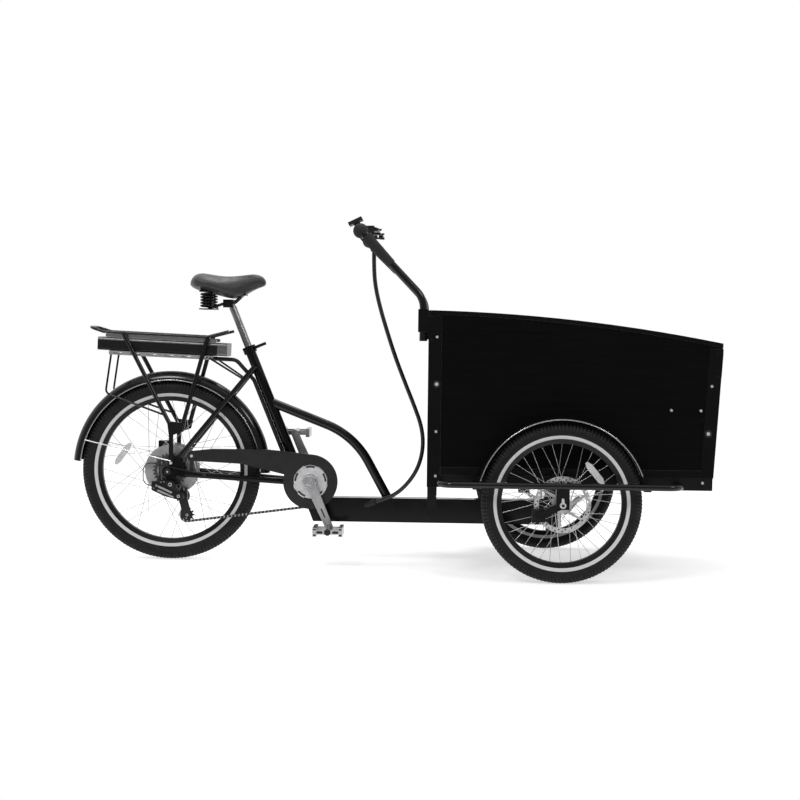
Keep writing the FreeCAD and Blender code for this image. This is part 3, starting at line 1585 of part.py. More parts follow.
def underframe():
    """Rails, cross members, pivot plate with the kingpin, axle plates and steering stops."""
    inner = box_half_width - rail_width
    side = [box_tube(V(box_rear_x, -box_half_width, rail_bottom), V(box_front_x, -inner, rail_top), True)]
    cross_starts = [
        box_rear_x, wheelbase - cross_member_reach - rail_width / 2,
        wheelbase + cross_member_reach - rail_width / 2,
        box_front_x - rail_width,
    ]
    shapes = [box_tube(V(x, -inner, rail_bottom), V(x + rail_width, inner, rail_top),
                       False) for x in cross_starts]
    plate_low = rail_bottom - pivot_plate_thickness
    plate_reach = cross_member_reach + rail_width / 2
    half = pivot_plate_width / 2
    shapes.append(block(V(wheelbase - plate_reach, -half, plate_low),
                        V(wheelbase + plate_reach, half, rail_bottom)))
    thrust = beam_top + head_tube_rise + bush_flange + side_gap
    nut_top = beam_bottom - head_tube_drop - bush_flange - side_gap
    shapes.append(joined([
        rod(V(wheelbase, 0, nut_top - kingpin_end), V(wheelbase, 0, plate_low), kingpin_radius),
        rod(V(wheelbase, 0, thrust), V(wheelbase, 0, plate_low), kingpin_collar_radius),
        rod(V(wheelbase, 0, nut_top - kingpin_end), V(wheelbase, 0, nut_top), kingpin_nut_radius),
    ]))
    plate_half = axle_plate_width / 2
    hole = disc(V(wheelbase, 0, front_axle_z), axle_radius, -axle_plate_inner - cut_overrun,
                -box_half_width + cut_overrun)
    plate = block(V(wheelbase - plate_half, -axle_plate_inner, front_axle_z - axle_plate_drop),
                  V(wheelbase + plate_half, -box_half_width, rail_top))
    stop = block(V(box_rear_x, -box_half_width, rail_bottom - stop_length),
                 V(box_rear_x + stop_width, stop_width - box_half_width, rail_bottom))
    return shapes + both_sides(side + [plate.cut(hole), stop])


def front_edge_x(z):
    return box_front_x + box_lean * (z - rail_top) / (box_front_top_z - rail_top)


def top_arc(lift):
    front = V(front_edge_x(box_front_top_z), 0, box_front_top_z + lift)
    rear = V(box_rear_x, 0, box_rear_top_z + lift)
    middle = V((front.x + rear.x) / 2, 0, box_middle_top_z + lift)
    return front, middle, rear


def side_panel():
    front, middle, rear = top_arc(0)
    low_front = V(box_front_x, 0, rail_top)
    low_rear = V(box_rear_x, 0, rail_top)
    edges = [
        Part.LineSegment(low_rear, low_front).toShape(), Part.LineSegment(low_front, front).toShape(),
        Part.Arc(front, middle, rear).toShape(), Part.LineSegment(rear, low_rear).toShape(),
    ]
    face = Part.Face(Part.Wire(edges))
    return face.extrude(V(0, panel_thickness, 0)).translated(V(0, -box_half_width, 0))


def rear_panel():
    half = box_half_width - panel_thickness
    return block(V(box_rear_x, -half, rail_top),
                 V(box_rear_x + panel_thickness, half, box_rear_top_z - panel_gap))


def front_panel():
    half = box_half_width - panel_thickness
    top_x = front_edge_x(box_front_top_z)
    return prism([
        (box_front_x - panel_thickness, rail_top), (box_front_x, rail_top), (top_x, box_front_top_z),
        (top_x - panel_thickness, box_front_top_z),
    ], -half, half)


def box_floor():
    """Floor board inside a frame of battens that stand on the rails against the panels."""
    half = box_half_width - panel_thickness
    rear = box_rear_x + panel_thickness
    front = box_front_x - panel_thickness
    inner = half - batten_width
    top = rail_top + batten_height
    board = block(V(rear + batten_width + floor_gap, -inner + floor_gap, rail_top),
                  V(front - batten_width - floor_gap, inner - floor_gap, rail_top + floor_thickness))
    side = block(V(rear, -half, rail_top), V(front, -inner, top))
    ends = [block(V(x, -inner, rail_top), V(x + batten_width, inner, top)) for x in (rear,
                                                                                     front - batten_width)]
    return [board], both_sides([side]) + ends


def box_edge_trims():
    """Channels over the top edges of the panels."""
    front, middle, rear = top_arc(trim_rise)
    low_front, low_middle, low_rear = top_arc(-trim_depth)
    edges = [
        Part.Arc(front, middle, rear).toShape(), Part.LineSegment(rear, low_rear).toShape(),
        Part.Arc(low_rear, low_middle, low_front).toShape(), Part.LineSegment(low_front, front).toShape(),
    ]
    band = Part.Face(Part.Wire(edges)).extrude(V(0, panel_thickness + 2 * trim_wall, 0))
    band = band.translated(V(0, -box_half_width - trim_wall, 0))
    side = band.cut(side_panel()).cut(rear_panel()).cut(front_panel())
    side = max(side.Solids, key=lambda solid: solid.Volume)
    half = box_half_width - panel_thickness - trim_wall
    rear_bar = block(V(box_rear_x - trim_wall, -half, box_rear_top_z - panel_gap - trim_depth),
                     V(box_rear_x + panel_thickness + trim_wall, half,
                       box_rear_top_z - panel_gap + trim_rise))
    low_z = box_front_top_z - trim_depth
    low_x = front_edge_x(low_z)
    top_x = front_edge_x(box_front_top_z)
    top_z = box_front_top_z + trim_rise
    deep = panel_thickness + trim_wall
    front_bar = prism([(low_x - deep, low_z), (low_x + trim_wall, low_z), (top_x + trim_wall, top_z),
                       (top_x - deep, top_z)],
                      -half, half)
    return both_sides([side]) + [rear_bar.cut(rear_panel()), front_bar.cut(front_panel())]


def box_edge_strips():
    """Corner angles, bottom strips and the small plates at the upper corners."""
    face = -box_half_width
    outer = face - strip_thickness
    rear = box_rear_x - strip_thickness
    rear_top = box_rear_top_z - strip_setback
    front_top = box_front_top_z - strip_setback
    bar = rod(V(side_bar_rear, -side_bar_y, side_bar_z), V(side_bar_rear, 0, side_bar_z), side_bar_radius)
    rear_angle = joined([
        block(V(rear, outer, rail_bottom), V(box_rear_x + strip_width, face, rear_top)),
        block(V(rear, outer, rail_bottom), V(box_rear_x, face + strip_width, rear_top)),
    ]).cut(bar)
    low_x = front_edge_x(rail_top)
    high_x = front_edge_x(front_top)
    thick = strip_thickness
    front_angle = joined([
        prism([(low_x - strip_width, rail_top), (low_x + thick, rail_top), (high_x + thick, front_top),
               (high_x - strip_width, front_top)], outer, face),
        prism([(low_x, rail_top), (low_x + thick, rail_top), (high_x + thick, front_top),
               (high_x, front_top)],
              face, face + strip_width),
    ])
    strip_top = rail_top + bottom_strip_height
    bottom = prism([
        (box_rear_x + strip_width, rail_top), (low_x - strip_width, rail_top),
        (front_edge_x(strip_top) - strip_width, strip_top), (box_rear_x + strip_width, strip_top),
    ], outer, face)
    deep = outer - corner_plate_thickness
    rear_plate = block(V(rear, deep, rear_top - corner_plate_height),
                       V(rear + corner_plate_width, outer, rear_top))
    plate_top = box_front_top_z - front_plate_drop
    plate_low = plate_top - corner_plate_height
    top_x = front_edge_x(plate_top) + thick
    base_x = front_edge_x(plate_low) + thick
    front_plate = prism([(base_x - corner_plate_width, plate_low), (base_x, plate_low), (top_x, plate_top),
                         (top_x - corner_plate_width, plate_top)], deep, outer)
    return both_sides([rear_angle, front_angle, bottom, rear_plate, front_plate])


def bolt(x, z, face, with_washer):
    """A low domed head on the right side, with or without a washer."""
    start = V(x, -face, z)
    out = AXLE_LINE * -1
    if with_washer:
        base = rod(start, start + out * washer_thickness, washer_radius)
        head = Part.makeCone(bolt_radius * washered_head_share, bolt_radius, bolt_height,
                             start + out * washer_thickness, out)
        return joined([base, head])
    return Part.makeCone(bolt_radius, bolt_radius * bolt_dome_share, bolt_height, start, out)


def box_bolts():
    face = box_half_width + strip_thickness
    height = box_rear_top_z - rail_bottom
    shapes = []
    for number, share in enumerate(rear_bolt_shares):
        shapes.append(bolt(box_rear_x + bolt_inset, rail_bottom + height * share, face,
                           number == washered_rear_bolt))
    height = box_front_top_z - rail_top
    for number, share in enumerate(front_bolt_shares):
        z = rail_top + height * share
        shapes.append(bolt(front_edge_x(z) - bolt_inset, z, face, number == washered_front_bolt))
    rail_middle = rail_bottom + rail_height / 2
    shapes.append(bolt(box_front_x - rail_bolt_setback, rail_middle + bolt_radius, box_half_width, False))
    for setback in bench_bolt_setbacks:
        z = rail_bottom + bench_bolt_rise
        shapes.append(bolt(front_edge_x(z) - setback, z, box_half_width, False))
    return both_sides(shapes)


def side_bars():
    """A bent tube on each side outside the wheel, with the outer axle plate and its tongue under it."""
    y = -side_bar_y
    start_y = -box_half_width
    points = [V(side_bar_rear, start_y, side_bar_z), V(side_bar_rear, y, side_bar_z),
              V(side_bar_front, y, side_bar_z),
              V(side_bar_front, start_y, side_bar_z)]
    bar = bent_tube(points, [side_bar_bend, side_bar_bend], side_bar_radius, side_bar_wall)
    half = axle_plate_width / 2
    straight = rod(V(side_bar_rear, y, side_bar_z), V(side_bar_front, y, side_bar_z), side_bar_radius)
    plate = block(V(wheelbase - half, -axle_plate_outer - axle_plate_thickness,
                    front_axle_z - axle_plate_drop),
                  V(wheelbase + half, -axle_plate_outer, side_bar_z)).cut(straight)
    axle = V(wheelbase, 0, front_axle_z)
    tongue = link_plate(front_caliper_centre(), axle, caliper_tongue_radius,
                        -axle_plate_outer - axle_plate_thickness,
                        -axle_plate_outer)
    hole = disc(axle, axle_radius, -axle_plate_outer - 2 * axle_plate_thickness,
                -axle_plate_outer + cut_overrun)
    hanger = joined([plate, tongue]).cut(hole)
    return both_sides([bar, min(hanger.Solids, key=lambda solid: solid.BoundBox.ZMin)])


def front_mudguards():
    """Mudguards on flat strips that run from the rail to the side bar."""
    centre = V(wheelbase, -wheel_y, front_axle_z)
    level = side_bar_z - side_bar_radius
    shell = mudguard(front_mudguard_radius, front_mudguard_crown, front_mudguard_front_angle,
                     front_mudguard_rear_angle).translated(centre)
    half = bracket_strip_width / 2
    shapes = [shell]
    for angle, way in ((front_mudguard_front_angle, 1), (front_mudguard_rear_angle, -1)):
        end = polar(centre, front_mudguard_radius, angle + way * mudguard_tab_turn, 0)
        foot_x = end.x + way * half
        strip = block(V(foot_x - half, -side_bar_y, level - bracket_strip_thickness),
                      V(foot_x + half, -box_half_width, level))
        low, high = sorted((end.x - way * mudguard_wall / 2, end.x + way * bracket_strip_thickness))
        tab = block(V(low, -wheel_y - half, level), V(high, half - wheel_y, end.z)).cut(shell)
        shapes += [strip, max(tab.Solids, key=lambda solid: solid.Volume)]
    return both_sides(shapes)


# Handlebar and its controls

def handlebar_path():
    side = [V(bar_x, -bar_half_width, bar_foot_z), V(bar_x, -bar_half_width, bar_elbow_z),
            V(bar_top_x, -bar_half_width, bar_top_z)]
    points = side + [V(point.x, bar_half_width, point.z) for point in reversed(side)]
    return points, [bar_elbow_bend, bar_corner_bend, bar_corner_bend, bar_elbow_bend]


def handlebar():
    points, bends = handlebar_path()
    return [bent_tube(points, bends, bar_radius, bar_wall)]


def handlebar_clamps():
    face = box_rear_x - strip_thickness
    body = block(V(bar_x - clamp_half_width, -bar_half_width - clamp_half_width, clamp_bottom_z),
                 V(face, clamp_half_width - bar_half_width, clamp_bottom_z + clamp_height))
    bore = rod(V(bar_x, -bar_half_width, bar_foot_z), V(bar_x, -bar_half_width, bar_elbow_z), bar_radius)
    return both_sides([body.cut(bore)])


def handlebar_grips():
    """Grip along the crossbar, a round end at the corner and a tapered sleeve down the upright."""
    points, bends = handlebar_path()
    solid_bar = bent_rod(points, bends, bar_radius)
    corner = points[2]
    down = (points[1] - corner).normalize()
    inset = bar_corner_bend * (1 - math.sqrt(0.5))
    across = down.cross(AXLE_LINE)
    ball = Part.makeSphere(grip_end_radius, corner + (down + AXLE_LINE) * inset, across).cut(solid_bar)
    grip = tube(corner + AXLE_LINE * bar_corner_bend, corner + AXLE_LINE * grip_length, grip_radius,
                grip_radius - bar_radius)
    start = corner + down * bar_corner_bend
    sleeve = Part.makeCone(sleeve_top_radius, sleeve_foot_radius, sleeve_length - bar_corner_bend, start,
                           down)
    sleeve = sleeve.cut(rod(points[1], corner, bar_radius))
    return both_sides([ball, grip, sleeve])


def crossbar():
    return V(bar_top_x, 0, bar_top_z)


def lever_pivot():
    return crossbar() + V(perch_reach, -perch_y, 0)


def brake_perch():
    """Clamp ring on the crossbar with a forked arm that holds the lever's pin."""
    centre = crossbar()
    pivot = lever_pivot()
    half = perch_width / 2
    rise = perch_height / 2
    body = joined([
        disc(centre, perch_radius, -perch_y - half, -perch_y + half),
        block(V(centre.x, -perch_y - half, centre.z - rise),
              V(pivot.x + half, -perch_y + half, centre.z + rise)),
    ])
    gap = lever_blade_thickness / 2 + side_gap
    slot = block(V(pivot.x - half, -perch_y - perch_width, centre.z - gap),
                 V(pivot.x + perch_width, -perch_y + perch_width, centre.z + gap))
    bore = disc(centre, bar_radius, -perch_y - perch_width, -perch_y + perch_width)
    pin = rod(pivot - UP * rise, pivot + UP * rise, lever_pivot_radius)
    return joined([body.cut(slot).cut(bore), pin])


def brake_lever():
    """A blade along the grip, on a vertical pin in the perch."""
    pivot = lever_pivot()
    half = lever_blade_thickness / 2
    width = lever_blade_width / 2
    low = pivot - UP * half
    high = pivot + UP * half
    tip = V(0, -lever_blade_length, 0)
    blade = block(V(pivot.x - width, pivot.y - lever_blade_length, low.z),
                  V(pivot.x + width, pivot.y, high.z))
    bore = rod(low - UP * cut_overrun, high + UP * cut_overrun, lever_pivot_radius + running_clearance)
    return joined([blade, rod(low, high, lever_boss_radius),
                   rod(low + tip, high + tip, lever_tip_radius)]).cut(bore)


def shifter_axis():
    return crossbar() + V(shifter_reach, -shifter_y, 0)


def shifter_pod():
    centre = crossbar()
    axis = shifter_axis()
    half = display_clamp_width / 2
    rise = shifter_height / 2
    body = joined([
        disc(centre, display_clamp_radius, -shifter_y - half, -shifter_y + half),
        block(V(centre.x, -shifter_y - half, centre.z - rise), V(axis.x, -shifter_y + half, centre.z + rise)),
        rod(axis - UP * rise, axis + UP * shifter_top, shifter_radius),
    ]).cut(disc(centre, bar_radius, -shifter_y - perch_width, -shifter_y + perch_width))
    pin_top = shifter_top + side_gap + shift_lever_thickness
    return joined([body, rod(axis, axis + UP * pin_top, lever_pivot_radius)])


def shift_lever():
    axis = shifter_axis()
    low = axis + UP * (shifter_top + side_gap)
    high = low + UP * shift_lever_thickness
    half = shift_lever_width / 2
    paddle = block(V(axis.x - shift_lever_length, axis.y - half, low.z), V(axis.x, axis.y + half, high.z))
    bore = rod(low - UP * cut_overrun, high + UP * cut_overrun, lever_pivot_radius + running_clearance)
    return [joined([paddle, rod(low, high, lever_boss_radius + side_gap)]).cut(bore)]


def display():
    """A small screen on a stalk, tilted towards the rider."""
    centre = crossbar()
    half = display_clamp_width / 2
    middle = centre + V(-display_back, 0, display_rise)
    screen = Part.makeBox(display_length, display_width, display_thickness,
                          V(-display_length / 2, -display_width / 2, -display_thickness / 2))
    screen = screen.rotated(V(0, 0, 0), AXLE_LINE * -1, display_tilt).translated(middle)
    stalk_half = display_stalk_width / 2
    stalk = prism([
        (centre.x - stalk_half, centre.z), (centre.x + stalk_half, centre.z), (middle.x + stalk_half,
                                                                               middle.z),
        (middle.x - stalk_half, middle.z),
    ], -half, half)
    bore = disc(centre, bar_radius, -display_width, display_width)
    return joined([screen, stalk, disc(centre, display_clamp_radius, -half, half)]).cut(bore)


# Cables

def cord_points():
    return [V(x, y, z) for x, y, z in bundle_route]


def cord_bends(points):
    bends = []
    for before, corner, after in zip(points, points[1:], points[2:]):
        back = before - corner
        ahead = after - corner
        half_turn = (math.pi - back.getAngle(ahead)) / 2
        bends.append(bundle_bend_share * min(back.Length, ahead.Length) / math.tan(half_turn))
    return bends


def cable_bundle():
    points = cord_points()
    bends = cord_bends(points)
    path = bent_path(points, bends)
    body = pipe(path, bundle_radius)
    share = body.Volume / (math.pi * bundle_radius ** 2 * path.Length)
    print("bundle length", round(path.Length, 1), "least bend", round(min(bends), 1),
          "volume over section times length", round(share, 4))
    return [body]


def handlebar_cables():
    """Collar round the top of the bundle and the thin cables that run into it from the controls."""
    points = cord_points()
    up = (points[0] - points[1]).normalize()
    collar = rod(points[0], points[0] + up * bundle_clip_length, bundle_clip_radius)
    root = points[0] + up * (bundle_clip_length / 2)
    spread = 2 * control_cable_radius + side_gap
    perch = brake_perch()
    far_perch = mirrored(perch)
    pod = shifter_pod()
    arm_x = crossbar().x + perch_reach / 2
    near_start = V(arm_x, -perch_y, crossbar().z)
    far_start = V(arm_x, perch_y, crossbar().z)
    pod_start = shifter_axis()
    far_knee = V(arm_x, root.y + far_cable_run, crossbar().z - perch_height / 2)
    routes = [
        rod(near_start, root - AXLE_LINE * spread, control_cable_radius),
        rod(pod_start, root + V(spread, 0, 0), control_cable_radius),
        bent_rod([far_start, far_knee, root + AXLE_LINE * spread], [far_cable_bend], control_cable_radius),
    ]
    shapes = [collar]
    for route in routes:
        free = route.cut(collar).cut(perch).cut(far_perch).cut(pod)
        shapes.append(max(free.Solids, key=lambda solid: solid.Volume))
    return shapes


def battery_loom():
    """Loom from the battery tray to a plug on the back of the seat tube."""
    level = tray_bottom + loom_radius / 2
    start = tilted_point(tray_front, 0, level)
    offset = seat_forward * -(seat_tube_radius + loom_radius + side_gap)
    upper = seat_tube_top - seat_up * loom_join + offset
    lower = seat_tube_base + seat_up * loom_end + offset
    corner = tilted_point(tray_front + loom_reach, 0, level)
    path = bent_path([start, corner, upper, lower], [loom_bend, loom_bend])
    plug = rod(lower, lower - seat_up * plug_length, plug_radius)
    tube_body = rod(seat_tube_base, seat_tube_top, seat_tube_radius)
    return [pipe(path, loom_radius), max(plug.cut(tube_body).Solids, key=lambda solid: solid.Volume)]


def gear_cable():
    """Outer cable from a stop on the chain stay round to the back of the derailleur."""
    rear, front = chain_stay_ends()
    tab = rear_axle + V(hanger_reach, 0, -hanger_drop)
    end_y = -dropout_face - dropout_thickness - derailleur_knuckle_depth + derailleur_body_depth / 2
    share = gear_stop_reach / (front.x - rear.x)
    beside = rear + (front - rear) * share
    start = beside + V(0, -chain_stay_radius - gear_cable_radius - side_gap, gear_stop_rise)
    end = V(tab.x - derailleur_body_back, end_y, tab.z - derailleur_body_height * gear_entry_share)
    points = [start, V(-gear_loop_reach, end_y, start.z + gear_loop_rise), V(-gear_loop_reach, end_y, end.z),
              end]
    loop = bent_rod(points, [gear_loop_bend, gear_loop_bend], gear_cable_radius)
    along = (start - points[1]).normalize()
    stop = rod(start, start + along * gear_stop_length,
               gear_stop_radius).cut(rod(rear, front, chain_stay_radius))
    return [loop, max(stop.Solids, key=lambda solid: solid.Volume)]


def bundle_gland():
    """Gland that carries the bundle's lower end through the beam's side."""
    points = cord_points()
    along = (points[-1] - points[-2]).normalize()
    half = beam_width / 2
    beam = block(V(bracket_x, -half, beam_bottom), V(wheelbase, half, beam_top))
    body = rod(points[-1], points[-1] + along * gland_length, gland_radius).cut(beam)
    return [max(body.Solids, key=lambda solid: solid.Volume)]


def build():
    tray, tray_tabs = battery_tray()
    loop = rack_loop()
    board, battens = box_floor()
    seat_frame = saddle_frame()
    levers = [brake_lever()]
    nodes = {
        "main_beam": main_beam(),
        "frame_bearings": frame_bearings(),
        "seat_tube": seat_tube(),
        "step_through_tube": step_through_tube(),
        "chainstays": chainstays(),
        "seatstays": seatstays(),
        "frame_fasteners": frame_fasteners(),
        "seat_clamp_collar": seat_clamp_collar(),
        "seat_clamp_lever": seat_clamp_lever(),
        "seatpost": seat_post(),
        "saddle_frame": seat_frame,
        "saddle_springs": saddle_springs(),
        "saddle_cushion": saddle_cushion(seat_frame),
        "rear_rack": [loop] + both_sides(rack_side(loop, tray)),
        "battery_tray": [tray] + tray_tabs,
        "battery_case": battery_case(),
        "rear_mudguard": rear_mudguard(),
        "rear_mudguard_stays": rear_mudguard_stays(),
        "chain_guard": chain_guard(),
        "chain": chain(),
        "rear_derailleur": rear_derailleur(),
        "guide_pulley": pulley(guide_pulley_centre),
        "tension_pulley": pulley(tension_pulley_centre),
        "freewheel_sprockets": freewheel_sprockets(),
        "crank_set": crank_set(),
        "chainring": chainring(),
        "pedal_right": pedal(-1),
        "pedal_left": pedal(1),
        "rear_brake_caliper": rear_brake_caliper(),
        "frame_cables": battery_loom() + gear_cable() + bundle_gland(),
        "cable_bundle": cable_bundle(),
        "underframe": underframe(),
        "box_floor": board,
        "box_panels": both_sides([side_panel()]) + [rear_panel(), front_panel()] + battens,
        "box_edge_trims": box_edge_trims(),
        "box_edge_strips": box_edge_strips(),
        "front_fasteners": front_axles() + box_bolts(),
        "side_bars": side_bars(),
        "front_mudguards": front_mudguards(),
        "front_brake_calipers": front_calipers(),
        "handlebar": handlebar(),
        "handlebar_clamps": handlebar_clamps(),
        "handlebar_grips": handlebar_grips(),
        "handlebar_controls": both_sides([brake_perch()]) + [shifter_pod(), display()],
        "handlebar_cables": handlebar_cables(),
        "brake_lever_right": levers,
        "brake_lever_left": [mirrored(shape) for shape in levers],
        "shift_lever": shift_lever(),
    }
    for name, shapes in rear_wheel().items():
        nodes[name] = place(shapes, rear_axle)
    for name, shapes in front_wheel().items():
        right = place(shapes, V(wheelbase, -wheel_y, front_axle_z))
        nodes["front_" + name + "_right"] = right
        nodes["front_" + name + "_left"] = [mirrored(shape) for shape in right]
    return nodes


def write(nodes):
    """Centre the whole on its length and write one file for each node."""
    whole = Part.makeCompound([shape for shapes in nodes.values() for shape in shapes])
    extent = whole.optimalBoundingBox(False, False)
    shift = -(extent.XMin + extent.XMax) / 2
    print("shift", round(shift, 3), "size", round(extent.XLength, 1), round(extent.YLength, 1),
          round(extent.ZLength, 1),
          "lowest", round(extent.ZMin, 3), "middle", round((extent.YMin + extent.YMax) / 2, 3))
    os.makedirs("parts", exist_ok=True)
    for name, shapes in nodes.items():
        moved = [shape.translated(V(shift, 0, 0)) for shape in shapes]
        shape = moved[0] if len(moved) == 1 else Part.makeCompound(moved)
        print(name, len(shape.Solids), "volume", round(shape.Volume), "valid", shape.isValid())
        shape.exportStep("parts/" + name + ".step")


write(build())
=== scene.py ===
import math

import bmesh
import bpy
from mathutils import Matrix, Vector


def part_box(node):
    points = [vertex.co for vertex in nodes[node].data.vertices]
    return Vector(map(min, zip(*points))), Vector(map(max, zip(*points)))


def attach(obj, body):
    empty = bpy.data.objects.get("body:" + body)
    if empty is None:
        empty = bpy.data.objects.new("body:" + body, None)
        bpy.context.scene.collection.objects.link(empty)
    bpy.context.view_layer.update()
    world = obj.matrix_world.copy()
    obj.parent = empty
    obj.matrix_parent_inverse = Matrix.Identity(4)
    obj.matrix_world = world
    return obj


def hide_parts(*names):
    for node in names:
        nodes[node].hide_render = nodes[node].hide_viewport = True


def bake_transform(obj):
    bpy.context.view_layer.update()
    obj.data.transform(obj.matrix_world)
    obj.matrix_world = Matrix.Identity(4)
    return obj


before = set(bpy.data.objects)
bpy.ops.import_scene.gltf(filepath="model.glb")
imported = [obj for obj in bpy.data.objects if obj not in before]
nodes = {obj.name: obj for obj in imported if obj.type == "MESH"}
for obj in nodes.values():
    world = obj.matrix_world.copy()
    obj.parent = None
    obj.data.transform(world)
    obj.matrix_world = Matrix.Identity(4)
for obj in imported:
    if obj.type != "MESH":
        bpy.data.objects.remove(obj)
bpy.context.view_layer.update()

AXLE_LINE = Vector((0, 1, 0))
UP = Vector((0, 0, 1))


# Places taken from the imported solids

def middle_of(name):
    low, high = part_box(name)
    return (low + high) / 2


def wheel_size(tyre):
    """Axle point and outer radius of a tyre."""
    low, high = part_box(tyre)
    return (low + high) / 2, (high.z - low.z) / 2


REAR_AXLE, REAR_RADIUS = wheel_size("rear_tyre")
RIGHT_AXLE, FRONT_RADIUS = wheel_size("front_tyre_right")
LEFT_AXLE = wheel_size("front_tyre_left")[0]
BRACKET = middle_of("chainring")

# Tyres in metres: radius at the rim, depth of the painted shade between the tread blocks, blocks in a row
REAR_SEAT = 0.254
FRONT_SEAT = 0.206
GROOVE_SHADE_DEPTH = 0.02
REAR_BLOCKS = 156
FRONT_BLOCKS = 132

# Mudguard edges: radius, first and last angle in degrees, places to both sides of the wheel's middle
REAR_GUARD_EDGE = 0.3115
REAR_GUARD_ANGLES = (-1, 175)
FRONT_GUARD_EDGE = 0.2685
FRONT_GUARD_ANGLES = (20, 165)
GUARD_SIDES = (-0.033, 0.033)

# Rack and battery: how far the rack tips down to the front, and places measured along that tip
RACK_TIP = math.radians(2.4)
RACK_START = 0.778
RACK_HEIGHT = 0.7436
BATTERY_CAP_START = -0.613
BATTERY_RAIL_START = 0.7156

# Drive: length of one chain link, outer face of the derailleur
CHAIN_PITCH = 0.0127
DERAILLEUR_FACE = -0.0955


# Camera at the photograph's viewing angle

def photo_camera():
    yaw, pitch, roll = -0.0274, -0.05, 0.012
    focal_pixels, frame_pixels = 1469.12, 800
    ahead = Vector((math.sin(yaw) * math.cos(pitch), math.cos(yaw) * math.cos(pitch), math.sin(pitch)))
    right = Vector((math.cos(yaw), -math.sin(yaw), 0))
    up = right.cross(ahead)
    tilted_right = right * math.cos(roll) + up * math.sin(roll)
    tilted_up = up * math.cos(roll) - right * math.sin(roll)
    data = bpy.data.cameras.new("photo_camera")
    data.sensor_width = 36
    data.lens = focal_pixels * data.sensor_width / frame_pixels
    data.clip_end = 100
    camera = bpy.data.objects.new("photo_camera", data)
    turn = Matrix((tilted_right, tilted_up, -ahead)).transposed().to_4x4()
    place = REAR_AXLE + Vector((0.92637, -5.04947, 0.81424 - REAR_AXLE.z))
    camera.matrix_world = Matrix.Translation(place) @ turn
    bpy.context.scene.collection.objects.link(camera)
    bpy.context.scene.camera = camera


# Small steps that the finishes share

def link(tree, start, end):
    tree.links.new(start, end)


def start_finish(name):
    material = bpy.data.materials.new(name)
    material.use_nodes = True
    tree = material.node_tree
    shader = tree.nodes["Principled BSDF"]
    places = tree.nodes.new("ShaderNodeTexCoord").outputs["Object"]
    return material, tree, shader, places


def mapped(tree, places, offset=(0, 0, 0), scale=(1, 1, 1), turn=(0, 0, 0)):
    step = tree.nodes.new("ShaderNodeMapping")
    step.inputs["Location"].default_value = offset
    step.inputs["Rotation"].default_value = turn
    step.inputs["Scale"].default_value = scale
    link(tree, places, step.inputs["Vector"])
    return step.outputs["Vector"]


def mottle(tree, places, scale, detail=4.0):
    step = tree.nodes.new("ShaderNodeTexNoise")
    step.inputs["Scale"].default_value = scale
    step.inputs["Detail"].default_value = detail
    link(tree, places, step.inputs["Vector"])
    return step.outputs["Fac"]


def grain(tree, places, scale):
    step = tree.nodes.new("ShaderNodeTexVoronoi")
    step.inputs["Scale"].default_value = scale
    link(tree, places, step.inputs["Vector"])
    return step.outputs["Distance"]


def spread(tree, value, low, high, start=0.35, end=0.65):
    step = tree.nodes.new("ShaderNodeMapRange")
    step.inputs["From Min"].default_value = start
    step.inputs["From Max"].default_value = end
    step.inputs["To Min"].default_value = low
    step.inputs["To Max"].default_value = high
    link(tree, value, step.inputs["Value"])
    return step.outputs["Result"]


def tint(tree, share, first, second):
    step = tree.nodes.new("ShaderNodeMix")
    step.data_type = "RGBA"
    link(tree, share, step.inputs["Factor"])
    for socket, colour in ((step.inputs[6], first), (step.inputs[7], second)):
        if isinstance(colour, tuple):
            socket.default_value = (*colour, 1)
        else:
            link(tree, colour, socket)
    return step.outputs[2]


def reckon(tree, operation, first, second):
    step = tree.nodes.new("ShaderNodeMath")
    step.operation = operation
    for socket, value in zip(step.inputs, (first, second)):
        if isinstance(value, (int, float)):
            socket.default_value = value
        else:
            link(tree, value, socket)
    return step.outputs[0]


def raise_surface(tree, shader, height, distance, strength=1.0):
    step = tree.nodes.new("ShaderNodeBump")
    step.inputs["Distance"].default_value = distance
    step.inputs["Strength"].default_value = strength
    link(tree, height, step.inputs["Height"])
    link(tree, step.outputs["Normal"], shader.inputs["Normal"])


def grey(level):
    return (level, level, level * 1.02)


def wheel_radius(tree, places, axle):
    """Distance from a wheel's axle line at each point of the surface."""
    moved = mapped(tree, places, offset=(-axle.x, 0, -axle.z), scale=(1, 0, 1))
    step = tree.nodes.new("ShaderNodeVectorMath")
    step.operation = "LENGTH"
    link(tree, moved, step.inputs[0])
    return step.outputs["Value"]


# Finishes

def painted_steel(name, level, smooth, rough, sheen=0.17):
    """Black powder coat: faint orange peel, patches of dust, roughness that drifts."""
    material, tree, shader, places = start_finish(name)
    dust = spread(tree, mottle(tree, places, 7.0, 6.0), 0.0, 1.0, 0.45, 0.75)
    link(tree, tint(tree, dust, grey(level), grey(level * 1.7)), shader.inputs["Base Color"])
    link(tree, spread(tree, mottle(tree, places, 22.0), smooth, rough), shader.inputs["Roughness"])
    shader.inputs["Specular IOR Level"].default_value = sheen
    shader.inputs["Coat Weight"].default_value = 0.06
    shader.inputs["Coat Roughness"].default_value = 0.1
    raise_surface(tree, shader, mottle(tree, places, 900.0, 2.0), 0.00012, 0.35)
    return material


